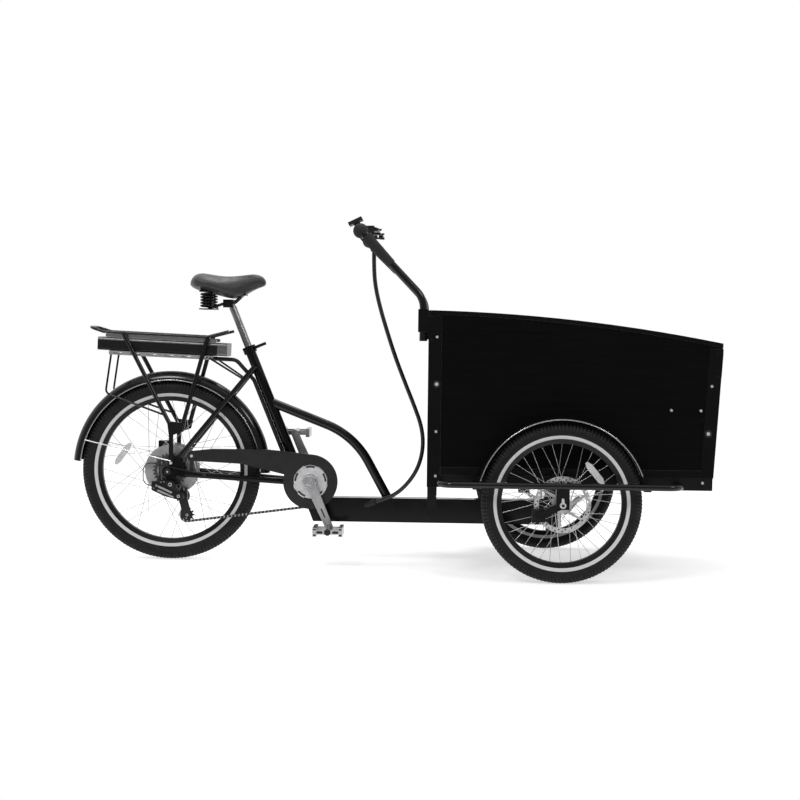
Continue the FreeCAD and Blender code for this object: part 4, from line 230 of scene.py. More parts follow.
def panel_film():
    """Matt black film on plywood: long faint grain under the film and a dull drift."""
    material, tree, shader, places = start_finish("panel_film")
    along = mapped(tree, places, scale=(3.0, 60.0, 60.0))
    lines = mottle(tree, along, 2.0, 6.0)
    film = tint(tree, spread(tree, lines, 0.0, 1.0), grey(0.0012), grey(0.002))
    link(tree, film, shader.inputs["Base Color"])
    link(tree, spread(tree, mottle(tree, places, 5.0), 0.5, 0.62), shader.inputs["Roughness"])
    shader.inputs["Specular IOR Level"].default_value = 0.06
    raise_surface(tree, shader, lines, 0.00025, 0.5)
    return material


def moulded_plastic(name, level, smooth, rough, pebble=1100.0):
    """Moulded plastic or rubber with a fine pebble grain."""
    material, tree, shader, places = start_finish(name)
    patches = spread(tree, mottle(tree, places, 14.0), 0.0, 1.0)
    link(tree, tint(tree, patches, grey(level), grey(level * 1.35)), shader.inputs["Base Color"])
    link(tree, spread(tree, mottle(tree, places, 40.0), smooth, rough), shader.inputs["Roughness"])
    shader.inputs["Specular IOR Level"].default_value = 0.3
    raise_surface(tree, shader, grain(tree, places, pebble), 0.0002, 0.4)
    return material


def bare_metal(name, level, smooth, rough, stretch=(1, 1, 1), fine=600.0, metallic=1.0):
    """Bare metal with fine lines from brushing or drawing and a cloudy polish."""
    material, tree, shader, places = start_finish(name)
    clouds = spread(tree, mottle(tree, places, 18.0, 5.0), 0.0, 1.0)
    link(tree, tint(tree, clouds, grey(level * 0.88), grey(level)), shader.inputs["Base Color"])
    strokes = mottle(tree, mapped(tree, places, scale=stretch), fine, 3.0)
    link(tree, spread(tree, strokes, smooth, rough), shader.inputs["Roughness"])
    shader.inputs["Metallic"].default_value = metallic
    raise_surface(tree, shader, strokes, 0.00008, 0.35)
    return material


def turned_metal(name, level, axle):
    """Metal turned or ground about a wheel's axle, with rings in its polish."""
    material, tree, shader, places = start_finish(name)
    reach = wheel_radius(tree, places, axle)
    rings = reckon(tree, "SINE", reckon(tree, "MULTIPLY", reach, 5200.0), 0.0)
    clouds = mottle(tree, places, 30.0, 5.0)
    polish = reckon(tree, "ADD", reckon(tree, "MULTIPLY", rings, 0.12), clouds)
    alloy = tint(tree, spread(tree, clouds, 0.0, 1.0), grey(level * 0.85), grey(level))
    link(tree, alloy, shader.inputs["Base Color"])
    link(tree, spread(tree, polish, 0.28, 0.48), shader.inputs["Roughness"])
    shader.inputs["Metallic"].default_value = 1.0
    raise_surface(tree, shader, polish, 0.00006, 0.4)
    return material


def tyre_rubber(name, axle, seat, tread):
    """Tyre rubber: a reflective band beside the rim, fine sidewall rings, and a near-black tone past the
    tread radius, painted shade between the tread blocks.
    """
    material, tree, shader, places = start_finish(name)
    reach = wheel_radius(tree, places, axle)
    inside = reckon(tree, "GREATER_THAN", reach, seat + 0.0005)
    outside = reckon(tree, "LESS_THAN", reach, seat + 0.0115)
    band = reckon(tree, "MULTIPLY", inside, outside)
    dust = spread(tree, mottle(tree, places, 60.0, 6.0), 0.0, 1.0)
    wall = tint(tree, dust, grey(0.0045), grey(0.0078))
    # Past the tread radius the body is painted near black: painted shade in the grooves between the blocks.
    rubber = tint(tree, reckon(tree, "GREATER_THAN", reach, tread), wall, grey(0.003))
    weave = tint(tree, spread(tree, mottle(tree, places, 1500.0), 0.0, 1.0), grey(0.48), grey(0.62))
    link(tree, tint(tree, band, rubber, weave), shader.inputs["Base Color"])
    link(tree, spread(tree, dust, 0.62, 0.85, 0.0, 1.0), shader.inputs["Roughness"])
    shader.inputs["Specular IOR Level"].default_value = 0.3
    rings = reckon(tree, "SINE", reckon(tree, "MULTIPLY", reach, 2800.0), 0.0)
    height = reckon(tree, "ADD", reckon(tree, "MULTIPLY", rings, 0.35), mottle(tree, places, 900.0))
    raise_surface(tree, shader, height, 0.0003, 0.5)
    return material


def saddle_vinyl():
    """Dark grey vinyl with a leather grain and a soft sheen."""
    material, tree, shader, places = start_finish("saddle_vinyl")
    worn = spread(tree, mottle(tree, places, 16.0, 5.0), 0.0, 1.0)
    link(tree, tint(tree, worn, grey(0.017), grey(0.024)), shader.inputs["Base Color"])
    link(tree, spread(tree, mottle(tree, places, 55.0), 0.36, 0.5), shader.inputs["Roughness"])
    shader.inputs["Sheen Weight"].default_value = 0.06
    creases = grain(tree, mapped(tree, places, scale=(1.0, 1.3, 1.0)), 620.0)
    raise_surface(tree, shader, creases, 0.0006, 0.45)
    return material


def battery_skin(cap_start, rail_start):
    """Battery: dark brushed case, bright alloy from the front cap on and along its upper rail."""
    material, tree, shader, places = start_finish("battery_skin")
    axes = tree.nodes.new("ShaderNodeSeparateXYZ")
    link(tree, mapped(tree, places, turn=(0, -RACK_TIP, 0)), axes.inputs[0])
    cap = reckon(tree, "GREATER_THAN", axes.outputs["X"], cap_start)
    rail = reckon(tree, "GREATER_THAN", axes.outputs["Z"], rail_start)
    alloy = reckon(tree, "MAXIMUM", cap, rail)
    strokes = mottle(tree, mapped(tree, places, scale=(1.0, 60.0, 60.0)), 30.0, 4.0)
    case = tint(tree, spread(tree, strokes, 0.0, 1.0), grey(0.0035), grey(0.006))
    bright = tint(tree, spread(tree, strokes, 0.0, 1.0), grey(0.15), grey(0.21))
    link(tree, tint(tree, alloy, case, bright), shader.inputs["Base Color"])
    link(tree, spread(tree, strokes, 0.34, 0.5), shader.inputs["Roughness"])
    link(tree, reckon(tree, "MULTIPLY", alloy, 0.9), shader.inputs["Metallic"])
    shader.inputs["Specular IOR Level"].default_value = 0.28
    raise_surface(tree, shader, strokes, 0.0001, 0.4)
    return material


def chain_finish():
    """Oiled chain: dark plates with a brighter pin at every link along the runs."""
    material, tree, shader, places = start_finish("chain_links")
    axes = tree.nodes.new("ShaderNodeSeparateXYZ")
    link(tree, places, axes.inputs[0])
    beat = reckon(tree, "SINE", reckon(tree, "MULTIPLY", axes.outputs["X"], math.tau / CHAIN_PITCH), 0.0)
    oil = mottle(tree, places, 160.0, 4.0)
    share = reckon(tree, "MULTIPLY", spread(tree, beat, 0.0, 1.0, 0.0, 0.8), spread(tree, oil, 0.5, 1.0))
    link(tree, tint(tree, share, grey(0.035), grey(0.42)), shader.inputs["Base Color"])
    link(tree, spread(tree, oil, 0.3, 0.5), shader.inputs["Roughness"])
    shader.inputs["Metallic"].default_value = 0.85
    raise_surface(tree, shader, beat, 0.0006, 0.6)
    return material


def ring_cover_alloy():
    """Turned alloy cover of the chainring; the slots round its edge are not cut but painted near black, as
    painted shade.
    """
    material, tree, shader, places = start_finish("ring_cover_alloy")
    reach = wheel_radius(tree, places, BRACKET)
    axes = tree.nodes.new("ShaderNodeSeparateXYZ")
    link(tree, mapped(tree, places, offset=(-BRACKET.x, 0, -BRACKET.z)), axes.inputs[0])
    angle = reckon(tree, "ARCTAN2", axes.outputs["Z"], axes.outputs["X"])
    arcs = reckon(tree, "SINE", reckon(tree, "MULTIPLY", angle, 5.0), 0.0)
    band = reckon(tree, "MULTIPLY", reckon(tree, "GREATER_THAN", reach, 0.0483),
                  reckon(tree, "LESS_THAN", reach, 0.0548))
    # Painted shade: the slots are a near-black, non-metal band of arcs in the colour.
    slot_shade = reckon(tree, "MULTIPLY", band, reckon(tree, "GREATER_THAN", arcs, 0.15))
    clouds = spread(tree, mottle(tree, places, 40.0, 5.0), 0.0, 1.0)
    alloy = tint(tree, clouds, grey(0.55), grey(0.66))
    link(tree, tint(tree, slot_shade, alloy, grey(0.012)), shader.inputs["Base Color"])
    link(tree, spread(tree, clouds, 0.3, 0.46, 0.0, 1.0), shader.inputs["Roughness"])
    link(tree, spread(tree, slot_shade, 0.5, 0.0, 0.0, 1.0), shader.inputs["Metallic"])
    rings = reckon(tree, "SINE", reckon(tree, "MULTIPLY", reach, 4200.0), 0.0)
    raise_surface(tree, shader, rings, 0.00006, 0.4)
    return material


def reflector_lens():
    """Clear prismatic reflector: rows of small cube corners under a glossy face, painted as pale grey with
    lighter and darker cells, a painted reflection of their glints.
    """
    material, tree, shader, places = start_finish("reflector_lens")
    cells = grain(tree, places, 420.0)
    # Painted reflection: the cube corners' glints as lighter and darker grey cells.
    painted_glints = tint(tree, spread(tree, cells, 0.0, 1.0, 0.1, 0.6), grey(0.72), grey(0.42))
    link(tree, painted_glints, shader.inputs["Base Color"])
    link(tree, spread(tree, mottle(tree, places, 60.0), 0.12, 0.22), shader.inputs["Roughness"])
    shader.inputs["Coat Weight"].default_value = 0.6
    raise_surface(tree, shader, cells, 0.0008, 0.6)
    return material


def sleeve_weave():
    """Cable bundle sleeve: a spiral wrap whose turns follow the tube's own map."""
    material, tree, shader, places = start_finish("sleeve_weave")
    axes = tree.nodes.new("ShaderNodeSeparateXYZ")
    link(tree, places.node.outputs["UV"], axes.inputs[0])
    turns = reckon(tree, "ADD", reckon(tree, "MULTIPLY", axes.outputs["X"], 90.0), axes.outputs["Y"])
    wrap = reckon(tree, "PINGPONG", turns, 0.5)
    fuzz = mottle(tree, places, 240.0)
    cloth = tint(tree, spread(tree, fuzz, 0.0, 1.0), grey(0.006), grey(0.011))
    link(tree, cloth, shader.inputs["Base Color"])
    link(tree, spread(tree, fuzz, 0.3, 0.44), shader.inputs["Roughness"])
    raise_surface(tree, shader, wrap, 0.0008, 0.6)
    return material


# Finish of every carried-over node

def dress_nodes(gloss, satin, plastic, black_alloy, silver, steel):
    panel = panel_film()
    guard = moulded_plastic("guard_plastic", 0.012, 0.32, 0.42, 900.0)
    post = bare_metal("post_alloy", 0.3, 0.22, 0.34, (1, 1, 0.1), 400.0)
    rubber = moulded_plastic("grip_rubber", 0.010, 0.6, 0.75, 700.0)
    wire = bare_metal("spoke_steel", 0.55, 0.2, 0.3)
    cogs = bare_metal("sprocket_steel", 0.13, 0.24, 0.4)
    tray = bare_metal("tray_alloy", 0.62, 0.3, 0.46, (1, 6, 1), 260.0)
    trim = painted_steel("trim_coat", 0.0018, 0.16, 0.24)
    tube = painted_steel("tube_coat", 0.0032, 0.12, 0.2, 0.36)
    finishes = {
        gloss: ("main_beam", "seat_tube", "chainstays", "seat_clamp_collar", "handlebar_clamps",
                "saddle_springs"),
        tube: ("step_through_tube", "seatstays", "rear_mudguard", "front_mudguards", "handlebar",
               "side_bars", "rear_rack"),
        satin: ("underframe", "saddle_frame", "rear_brake_caliper"),
        panel: ("box_panels", "box_floor"),
        trim: ("box_edge_strips", "box_edge_trims"),
        plastic: ("rear_derailleur", "guide_pulley", "tension_pulley", "handlebar_controls", "frame_cables",
                  "handlebar_cables", "shift_lever"),
        guard: ("chain_guard",),
        rubber: ("handlebar_grips",),
        black_alloy: ("rear_rim", "front_rim_right", "front_rim_left", "brake_lever_right",
                      "brake_lever_left", "seat_clamp_lever", "front_brake_calipers"),
        post: ("seatpost",),
        silver: ("crank_set", "chainring", "pedal_right", "pedal_left"),
        steel: ("frame_fasteners", "front_fasteners", "frame_bearings", "rear_mudguard_stays"),
        wire: ("rear_spokes", "front_spokes_right", "front_spokes_left"),
        tray: ("battery_tray",),
        cogs: ("freewheel_sprockets",),
        chain_finish(): ("chain",),
        turned_metal("motor_alloy", 0.5, REAR_AXLE): ("rear_hub_motor",),
        turned_metal("rotor_steel", 0.68, RIGHT_AXLE): ("front_hub_right", "front_hub_left"),
        battery_skin(BATTERY_CAP_START, BATTERY_RAIL_START): ("battery_case",),
    }
    for material, names in finishes.items():
        for name in names:
            slots = nodes[name].data.materials
            slots.clear()
            slots.append(material)


def soften_edges(names, width, painted_edge_highlight=None):
    """Rounds the sharp edges of flat-sided nodes; a paler finish on the rounded faces gives a painted
    highlight along the edges.
    """
    for name in names:
        weld = nodes[name].modifiers.new("one_skin", "WELD")
        weld.merge_threshold = 0.00001
        bevel = nodes[name].modifiers.new("soft_edges", "BEVEL")
        bevel.width = width
        bevel.segments = 2
        bevel.limit_method = "ANGLE"
        bevel.angle_limit = math.radians(50)
        if painted_edge_highlight:
            nodes[name].data.materials.append(painted_edge_highlight)
            bevel.material = 1


# New pieces

def as_piece(name, shape, material):
    mesh = bpy.data.meshes.new(name)
    shape.to_mesh(mesh)
    shape.free()
    mesh.materials.append(material)
    piece = bpy.data.objects.new(name, mesh)
    bpy.context.scene.collection.objects.link(piece)
    return piece


def outline(shape, points):
    """A closed outline of edges through the points."""
    corners = [shape.verts.new(point) for point in points]
    return [shape.edges.new((a, b)) for a, b in zip(corners, corners[1:] + corners[:1])]


def ring_about(shape, geometry, axle, steps):
    bmesh.ops.spin(shape, geom=geometry, cent=axle, axis=AXLE_LINE, angle=math.tau, steps=steps,
                   use_merge=True, use_duplicate=False)
    bmesh.ops.remove_doubles(shape, verts=shape.verts, dist=1e-6)
    bmesh.ops.recalc_face_normals(shape, faces=shape.faces)


def repeat_about(shape, geometry, axle, count):
    bmesh.ops.spin(shape, geom=geometry, cent=axle, axis=AXLE_LINE, angle=math.tau * (count - 1) / count,
                   steps=count - 1, use_merge=False, use_duplicate=True)


def turned(shape, axle, points, steps):
    """Turns a closed profile of (radius, y) points about an axle line."""
    profile = [Vector((axle.x + reach, across, axle.z)) for reach, across in points]
    ring_about(shape, outline(shape, profile), axle, steps)


def mirrored_profile(points):
    return [(reach, -across) for reach, across in points]


def bevelled_block(shape, size, soft):
    """A block about the origin with its edges softened; gives back its corners."""
    before = set(shape.verts)
    made = bmesh.ops.create_cube(shape, size=1.0)["verts"]
    bmesh.ops.scale(shape, vec=size, verts=made)
    edges = list({edge for vert in made for edge in vert.link_edges})
    bmesh.ops.bevel(shape, geom=edges, offset=soft, segments=1, profile=0.5, affect="EDGES", material=-1)
    return [vert for vert in shape.verts if vert not in before]


def tread_block(shape, place, size, lean, skew):
    """One rubber block with softened edges, leaning with the crown and skewed along the tread."""
    made = bevelled_block(shape, size, 0.0006)
    bmesh.ops.rotate(shape, verts=made, matrix=Matrix.Rotation(skew, 3, "X"))
    bmesh.ops.rotate(shape, verts=made, matrix=Matrix.Rotation(lean, 3, "Z"))
    bmesh.ops.translate(shape, verts=made, vec=place)
    return made


def rounded_bar(shape, start, end, width, thick):
    """A flat bar with round ends between two points of one upright plane."""
    before = set(shape.verts)
    along = end - start
    made = bmesh.ops.create_cube(shape, size=1.0)["verts"]
    bmesh.ops.scale(shape, vec=(along.length + width, thick, width), verts=made)
    uprights = {edge for vert in made for edge in vert.link_edges
                if abs((edge.verts[0].co - edge.verts[1].co).normalized().y) > 0.9}
    bmesh.ops.bevel(shape, geom=list(uprights), offset=width * 0.48, segments=5, profile=0.5,
                    affect="EDGES", material=-1)
    made = [vert for vert in shape.verts if vert not in before]
    turn = Matrix.Rotation(-math.atan2(along.z, along.x), 3, "Y")
    bmesh.ops.rotate(shape, verts=made, matrix=turn)
    bmesh.ops.translate(shape, verts=made, vec=(start + end) / 2)
    bmesh.ops.recalc_face_normals(shape, faces=shape.faces)


def domed_head(shape, place, radius, height):
    """A bolt head on the right side with a rounded rim and a socket in its face."""
    face = place.y - height
    profile = [(radius * 0.35, face + height * 0.5), (radius * 0.45, face), (radius * 0.8, face),
               (radius, face + height * 0.4), (radius, place.y), (radius * 0.35, place.y)]
    turned(shape, place, profile, 16)


def tyre(name, node, body, axle, radius, seat, count, rubber, tread):
    """Tyre body turned from its profile, with four rows of low blocks on each side of its crown."""
    block_height, margin = 0.0012, 0.0004
    half = 0.027
    crown = half - block_height
    shoulder = radius - half
    profile = [(seat, 0.0150), (seat + 0.004, 0.0168), (seat + 0.013, 0.0198), (seat + 0.024, 0.0236)]
    for angle in (0, 18, 36, 54, 72, 90):
        bend = math.radians(angle)
        profile.append((shoulder + crown * math.sin(bend), crown * math.cos(bend)))
    mirrored = mirrored_profile(reversed(profile[:-1]))
    inner = [(seat, -0.010), (shoulder, -0.020), (radius - 0.006, 0.0), (shoulder, 0.020), (seat, 0.010)]
    shape = bmesh.new()
    points = [axle + Vector((reach, across, 0)) for reach, across in profile + mirrored + inner]
    ring_about(shape, outline(shape, points), axle, 120)
    rows = ((8, (0.0026, 0.0056, 0.0074), 0.45), (27, (0.0026, 0.006, 0.0062), -0.3),
            (46, (0.0026, 0.0062, 0.006), 0.3), (65, (0.0026, 0.0062, 0.0048), 0.1))
    blocks = []
    for row, size, skew in rows:
        for side in (-1, 1):
            lean = math.radians(row) * side
            out = crown + block_height - margin - size[0] / 2
            place = axle + Vector((shoulder + out * math.cos(lean), out * math.sin(lean), 0))
            blocks += tread_block(shape, place, size, lean, skew * side)
    edges = list({edge for vert in blocks for edge in vert.link_edges})
    faces = list({face for vert in blocks for face in vert.link_faces})
    for face in faces:
        face.material_index = 1
    repeat_about(shape, blocks + edges + faces, axle, count)
    piece = as_piece(name, shape, rubber)
    # The blocks take a rubber lighter than the tyre wall, as painted light against the painted shade of the
    # grooves.
    piece.data.materials.append(tread)
    for face in piece.data.polygons:
        face.use_smooth = face.material_index == 0
    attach(piece, body)
    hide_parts(node)


def facing(shape, side):
    """Faces of a shape that look outward along the axle line."""
    return [face for face in shape.faces if face.normal.dot(AXLE_LINE * side) > 0.9]


def raised_plate(points, side, thick):
    """A flat plate through the points, raised outward along the axle line."""
    shape = bmesh.new()
    face = bmesh.ops.contextual_create(shape, geom=outline(shape, points))["faces"]
    lifted = bmesh.ops.extrude_face_region(shape, geom=face)["geom"]
    verts = [item for item in lifted if isinstance(item, bmesh.types.BMVert)]
    bmesh.ops.translate(shape, verts=verts, vec=AXLE_LINE * side * thick)
    bmesh.ops.recalc_face_normals(shape, faces=shape.faces)
    return shape


def spoke_reflector(name, body, axle, first, last, side, material):
    """Flat pointed reflector clipped across the spokes, with a raised rim and a lens."""
    start, end = axle + Vector(first), axle + Vector(last)
    along = (end - start).normalized()
    across = along.cross(AXLE_LINE).normalized()
    long, wide, thick, point = (end - start).length, 0.0102, 0.0035, 0.016
    centre = (start + end) / 2
    half = long / 2
    tip = 0.004
    corners = [(-half, -tip), (-half + point, -wide), (half - point, -wide), (half, -tip), (half, tip),
               (half - point, wide), (-half + point, wide), (-half, tip)]
    shape = raised_plate([centre + along * a + across * b for a, b in corners], side, thick)
    bmesh.ops.inset_region(shape, faces=facing(shape, side), thickness=0.002, depth=0.0)
    lens_face = [face for face in facing(shape, side) if len(face.verts) == len(corners)]
    bmesh.ops.inset_region(shape, faces=lens_face, thickness=0.001, depth=-0.0008)
    piece = as_piece(name, shape, material)
    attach(piece, body)


def finished(name, shape, material, body):
    """A flat-shaded new piece that rides a body."""
    piece = as_piece(name, shape, material)
    for face in piece.data.polygons:
        face.use_smooth = False
    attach(piece, body)
    return piece


def crank_details(alloy, black):
    """Chainring cover, bosses, recessed faces on both arms, and the pedals' end caps and inserts."""
    cover = [(0.019, -0.063), (0.0575, -0.063), (0.0577, -0.064), (0.0565, -0.0649), (0.047, -0.0652),
             (0.031, -0.0652), (0.0295, -0.0663), (0.0272, -0.0663), (0.0258, -0.0652), (0.019, -0.0652)]
    shape = bmesh.new()
    turned(shape, BRACKET, cover, 72)
    finished("chainring_cover", shape, ring_cover_alloy(), "crank")
    boss = [(0.0, -0.0925), (0.0065, -0.0925), (0.0072, -0.0915), (0.0105, -0.0915), (0.0115, -0.0922),
            (0.0135, -0.0922), (0.0145, -0.0908), (0.0205, -0.0908), (0.0232, -0.0885), (0.0236, -0.078),
            (0.0, -0.078)]
    shape = bmesh.new()
    turned(shape, BRACKET, boss, 40)
    turned(shape, BRACKET, mirrored_profile(boss), 40)
    finished("crank_bosses", shape, alloy, "crank")
    for side, name in ((-1, "right"), (1, "left")):
        pedal = middle_of("pedal_" + name)
        arm_face(name, pedal, side, alloy)
        arm_slot(name, pedal, side, black)
        pedal_details(name, pedal, side, black)


def arm_direction(pedal):
    return Vector((pedal.x - BRACKET.x, 0, pedal.z - BRACKET.z)).normalized()


def arm_face(name, pedal, side, alloy):
    """Raised face along a crank arm, with a long recess."""
    along = arm_direction(pedal)
    across = along.cross(AXLE_LINE)
    start = Vector((BRACKET.x, side * 0.09, BRACKET.z))
    corners = ((0.026, -0.0125), (0.150, -0.0092), (0.150, 0.0092), (0.026, 0.0125))
    shape = raised_plate([start + along * a + across * b for a, b in corners], side, 0.0016)
    outer = facing(shape, side)
    bmesh.ops.inset_region(shape, faces=outer, thickness=0.003, depth=0.0)
    bmesh.ops.inset_region(shape, faces=outer, thickness=0.0008, depth=-0.0013)
    finished("crank_face_" + name, shape, alloy, "crank")


def arm_slot(name, pedal, side, black):
    """Black bar in the recess near the pedal's end of a crank arm: painted shade where the arm has a slot.
    """
    along = arm_direction(pedal)
    start = Vector((BRACKET.x, side * 0.0909, BRACKET.z))
    shape = bmesh.new()
    rounded_bar(shape, start + along * 0.098, start + along * 0.128, 0.0045, 0.0014)
    finished("crank_slot_shade_" + name, shape, black, "crank")


def pedal_details(name, pedal, side, black):
    """Cap over the spindle and dark inserts on a pedal's outer end."""
    low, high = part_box("pedal_" + name)
    end = high.y if side > 0 else low.y
    shape = bmesh.new()
    cap = [(0.0, 0.0035), (0.007, 0.0035), (0.0105, 0.002), (0.0112, 0.0), (0.0, 0.0)]
    turned(shape, pedal, [(reach, end + side * rise) for reach, rise in cap], 28)
    for way in (-1, 1):
        inner = Vector((pedal.x + way * 0.02, end + side * 0.0004, pedal.z))
        rounded_bar(shape, inner, inner + Vector((way * 0.013, 0, 0)), 0.008, 0.0008)
        for rise in (-0.0095, 0.0095):
            outer = Vector((pedal.x + way * 0.0405, end + side * 0.0004, pedal.z + rise))
            rounded_bar(shape, outer, outer + Vector((way * 0.005, 0, 0)), 0.005, 0.0008)
    finished("pedal_caps_" + name, shape, black, "pedal_" + name)


def from_axle(x, y, z):
    """A point measured ahead of the rear axle, from the middle plane and from the floor."""
    return Vector((REAR_AXLE.x + x, y, z))


def derailleur_bars(shape, rows):
    """Flat bars beside the derailleur's outer face: both ends, distance outward, width, thickness."""
    for (x, z), (end_x, end_z), out, width, thick in rows:
        across = DERAILLEUR_FACE - out
        rounded_bar(shape, from_axle(x, across, z), from_axle(end_x, across, end_z), width, thick)


def derailleur_details(alloy, black):
    """Outer links, pivot bolts, limit screws and cable barrel on the derailleur's body and cage."""
    links = bmesh.new()
    derailleur_bars(links, (((-0.034, 0.264), (0.041, 0.229), 0.002, 0.017, 0.004),
                            ((-0.044, 0.268), (0.006, 0.272), 0.001, 0.009, 0.002)))
    finished("derailleur_links", links, black, "frame")
    bright = bmesh.new()
    derailleur_bars(bright, (((-0.026, 0.2605), (0.016, 0.2415), 0.0045, 0.0065, 0.0015),
                             ((-0.03, 0.247), (0.022, 0.2265), 0.001, 0.006, 0.002)))
    pivots = ((0.012, 0.268, 0.0068), (-0.034, 0.264, 0.0042), (0.041, 0.229, 0.0058))
    for x, z, radius in pivots:
        domed_head(bright, from_axle(x, DERAILLEUR_FACE - 0.004, z), radius, 0.003)
    screws = ((-0.02, 0.2755), (-0.009, 0.2765), (-0.044, 0.255), (0.004, 0.2345))
    for x, z in screws:
        domed_head(bright, from_axle(x, DERAILLEUR_FACE, z), 0.0028, 0.0035)
    domed_head(bright, from_axle(0.063, -0.056, 0.16), 0.0052, 0.003)
    domed_head(bright, from_axle(0.0605, -0.056, 0.149), 0.0028, 0.002)
    finished("derailleur_bolts", bright, alloy, "frame")


def axle_details(steel, black):
    """Caps over the rear axle's nuts, washers and plugs on the front axles, seals round two bolts."""
    cap = [(0.0035, -0.0866), (0.0095, -0.0866), (0.0122, -0.084), (0.0122, -0.0736), (0.0102, -0.0736),
           (0.0102, -0.0822), (0.0062, -0.0822), (0.0062, -0.0858), (0.0035, -0.0858)]
    shape = bmesh.new()
    turned(shape, REAR_AXLE, cap, 32)
    turned(shape, REAR_AXLE, mirrored_profile(cap), 32)
    finished("rear_axle_caps", shape, black, "frame")
    tabs = bmesh.new()
    plugs = bmesh.new()
    plug = [(0.0, -0.4482), (0.0035, -0.4482), (0.005, -0.4474), (0.005, -0.447), (0.0, -0.447)]
    seal = [(0.0067, -0.3176), (0.0105, -0.3176), (0.0118, -0.3168), (0.0118, -0.3151), (0.0092, -0.3151),
            (0.0092, -0.3166), (0.0067, -0.3166)]
    panel_bolts = ((0.914, 0.6299), (1.7884, 0.4812))
    for side in (-1, 1):
        foot = Vector((RIGHT_AXLE.x, side * 0.4362, RIGHT_AXLE.z + 0.009))
        rounded_bar(tabs, foot, foot + UP * 0.009, 0.0085, 0.0024)
        turned(plugs, RIGHT_AXLE, plug if side < 0 else mirrored_profile(plug), 20)
        for x, z in panel_bolts:
            turned(plugs, from_axle(x, 0, z), seal if side < 0 else mirrored_profile(seal), 28)
    finished("front_axle_tabs", tabs, steel, "front_unit")
    finished("front_bolt_seals", plugs, black, "front_unit")


def rolled_edges(name, body, axle, reach, start, end, sides, material):
    """A rolled bead along each long edge of a mudguard, from one angle above the axle to another."""
    bead, steps = 0.0021, 72
    lift = Matrix.Rotation(-math.radians(start), 3, "Y")
    shape = bmesh.new()
    for across in sides:
        profile = []
        for number in range(8):
            bend = math.tau * number / 8
            out = Vector((reach + bead * math.cos(bend), 0, 0))
            profile.append(axle + lift @ out + AXLE_LINE * (across + bead * math.sin(bend)))
        ring = outline(shape, profile)
        bmesh.ops.contextual_create(shape, geom=ring)
        bmesh.ops.spin(shape, geom=ring, cent=axle, axis=AXLE_LINE, angle=-math.radians(end - start),
                       steps=steps, use_merge=False, use_duplicate=False)
    bmesh.ops.holes_fill(shape, edges=shape.edges, sides=0)
    bmesh.ops.remove_doubles(shape, verts=shape.verts, dist=1e-6)
    bmesh.ops.recalc_face_normals(shape, faces=shape.faces)
    piece = finished(name, shape, material, body)
    for face in piece.data.polygons:
        face.use_smooth = len(face.vertices) == 4


def on_rack(x, y, z):
    """A point measured along the rack, which tips down to the front."""
    along, rise = x - RACK_START, z + RACK_HEIGHT
    return Vector((along * math.cos(RACK_TIP) + rise * math.sin(RACK_TIP), y,
                   rise * math.cos(RACK_TIP) - along * math.sin(RACK_TIP)))


def battery_guides(alloy):
    """Two alloy guides under the rack, above the battery."""
    shape = bmesh.new()
    for side in (-0.045, 0.045):
        rounded_bar(shape, on_rack(-0.215, side, -0.011), on_rack(0.155, side, -0.011), 0.011, 0.010)
    finished("battery_guides", shape, alloy, "frame")


def saddle_ring(shape, x, half, top, bottom):
    """One cross-section of the cushion: crowned above, drawn in and flatter below."""
    made = bmesh.ops.create_circle(shape, cap_ends=False, segments=24, radius=1.0)["verts"]
    middle = bottom + (top - bottom) * 0.42
    for vert in made:
        across, rise = vert.co.x, vert.co.y
        if rise >= 0:
            level = middle + (top - middle) * rise
            width = half * math.copysign(abs(across) ** 0.8, across)
        else:
            level = middle - (middle - bottom) * abs(rise) ** 0.7
            width = half * across * (1 - 0.1 * abs(rise))
        vert.co = Vector((x, width, level))
    return list({edge for vert in made for edge in vert.link_edges})


def settle_foam(piece, swell):
    """Remeshes the cushion and swells it a little as stretched vinyl over foam, with a cap on the move."""
    remesh = piece.modifiers.new("even_skin", "REMESH")
    remesh.mode = "VOXEL"
    remesh.voxel_size = 0.005
    bake_modifiers(piece)
    start = [vert.co.copy() for vert in piece.data.vertices]
    cloth = piece.modifiers.new("foam", "CLOTH")
    cloth.settings.quality = 6
    cloth.settings.use_pressure = True
    cloth.settings.uniform_pressure_force = 4.0
    cloth.settings.effector_weights.gravity = 0
    scene = bpy.context.scene
    last_frame = 15
    for number in range(1, last_frame + 1):
        scene.frame_set(number)
    bake_modifiers(piece)
    scene.frame_set(1)
    for vert, first in zip(piece.data.vertices, start):
        move = vert.co - first
        if move.length > swell:
            vert.co = first + move.normalized() * swell


def bake_modifiers(piece):
    graph = bpy.context.evaluated_depsgraph_get()
    settled = bpy.data.meshes.new_from_object(piece.evaluated_get(graph))
    piece.modifiers.clear()
    piece.data = settled


def round_off(piece, name, levels):
    surface = piece.modifiers.new(name, "SUBSURF")
    surface.levels = levels
    surface.render_levels = levels


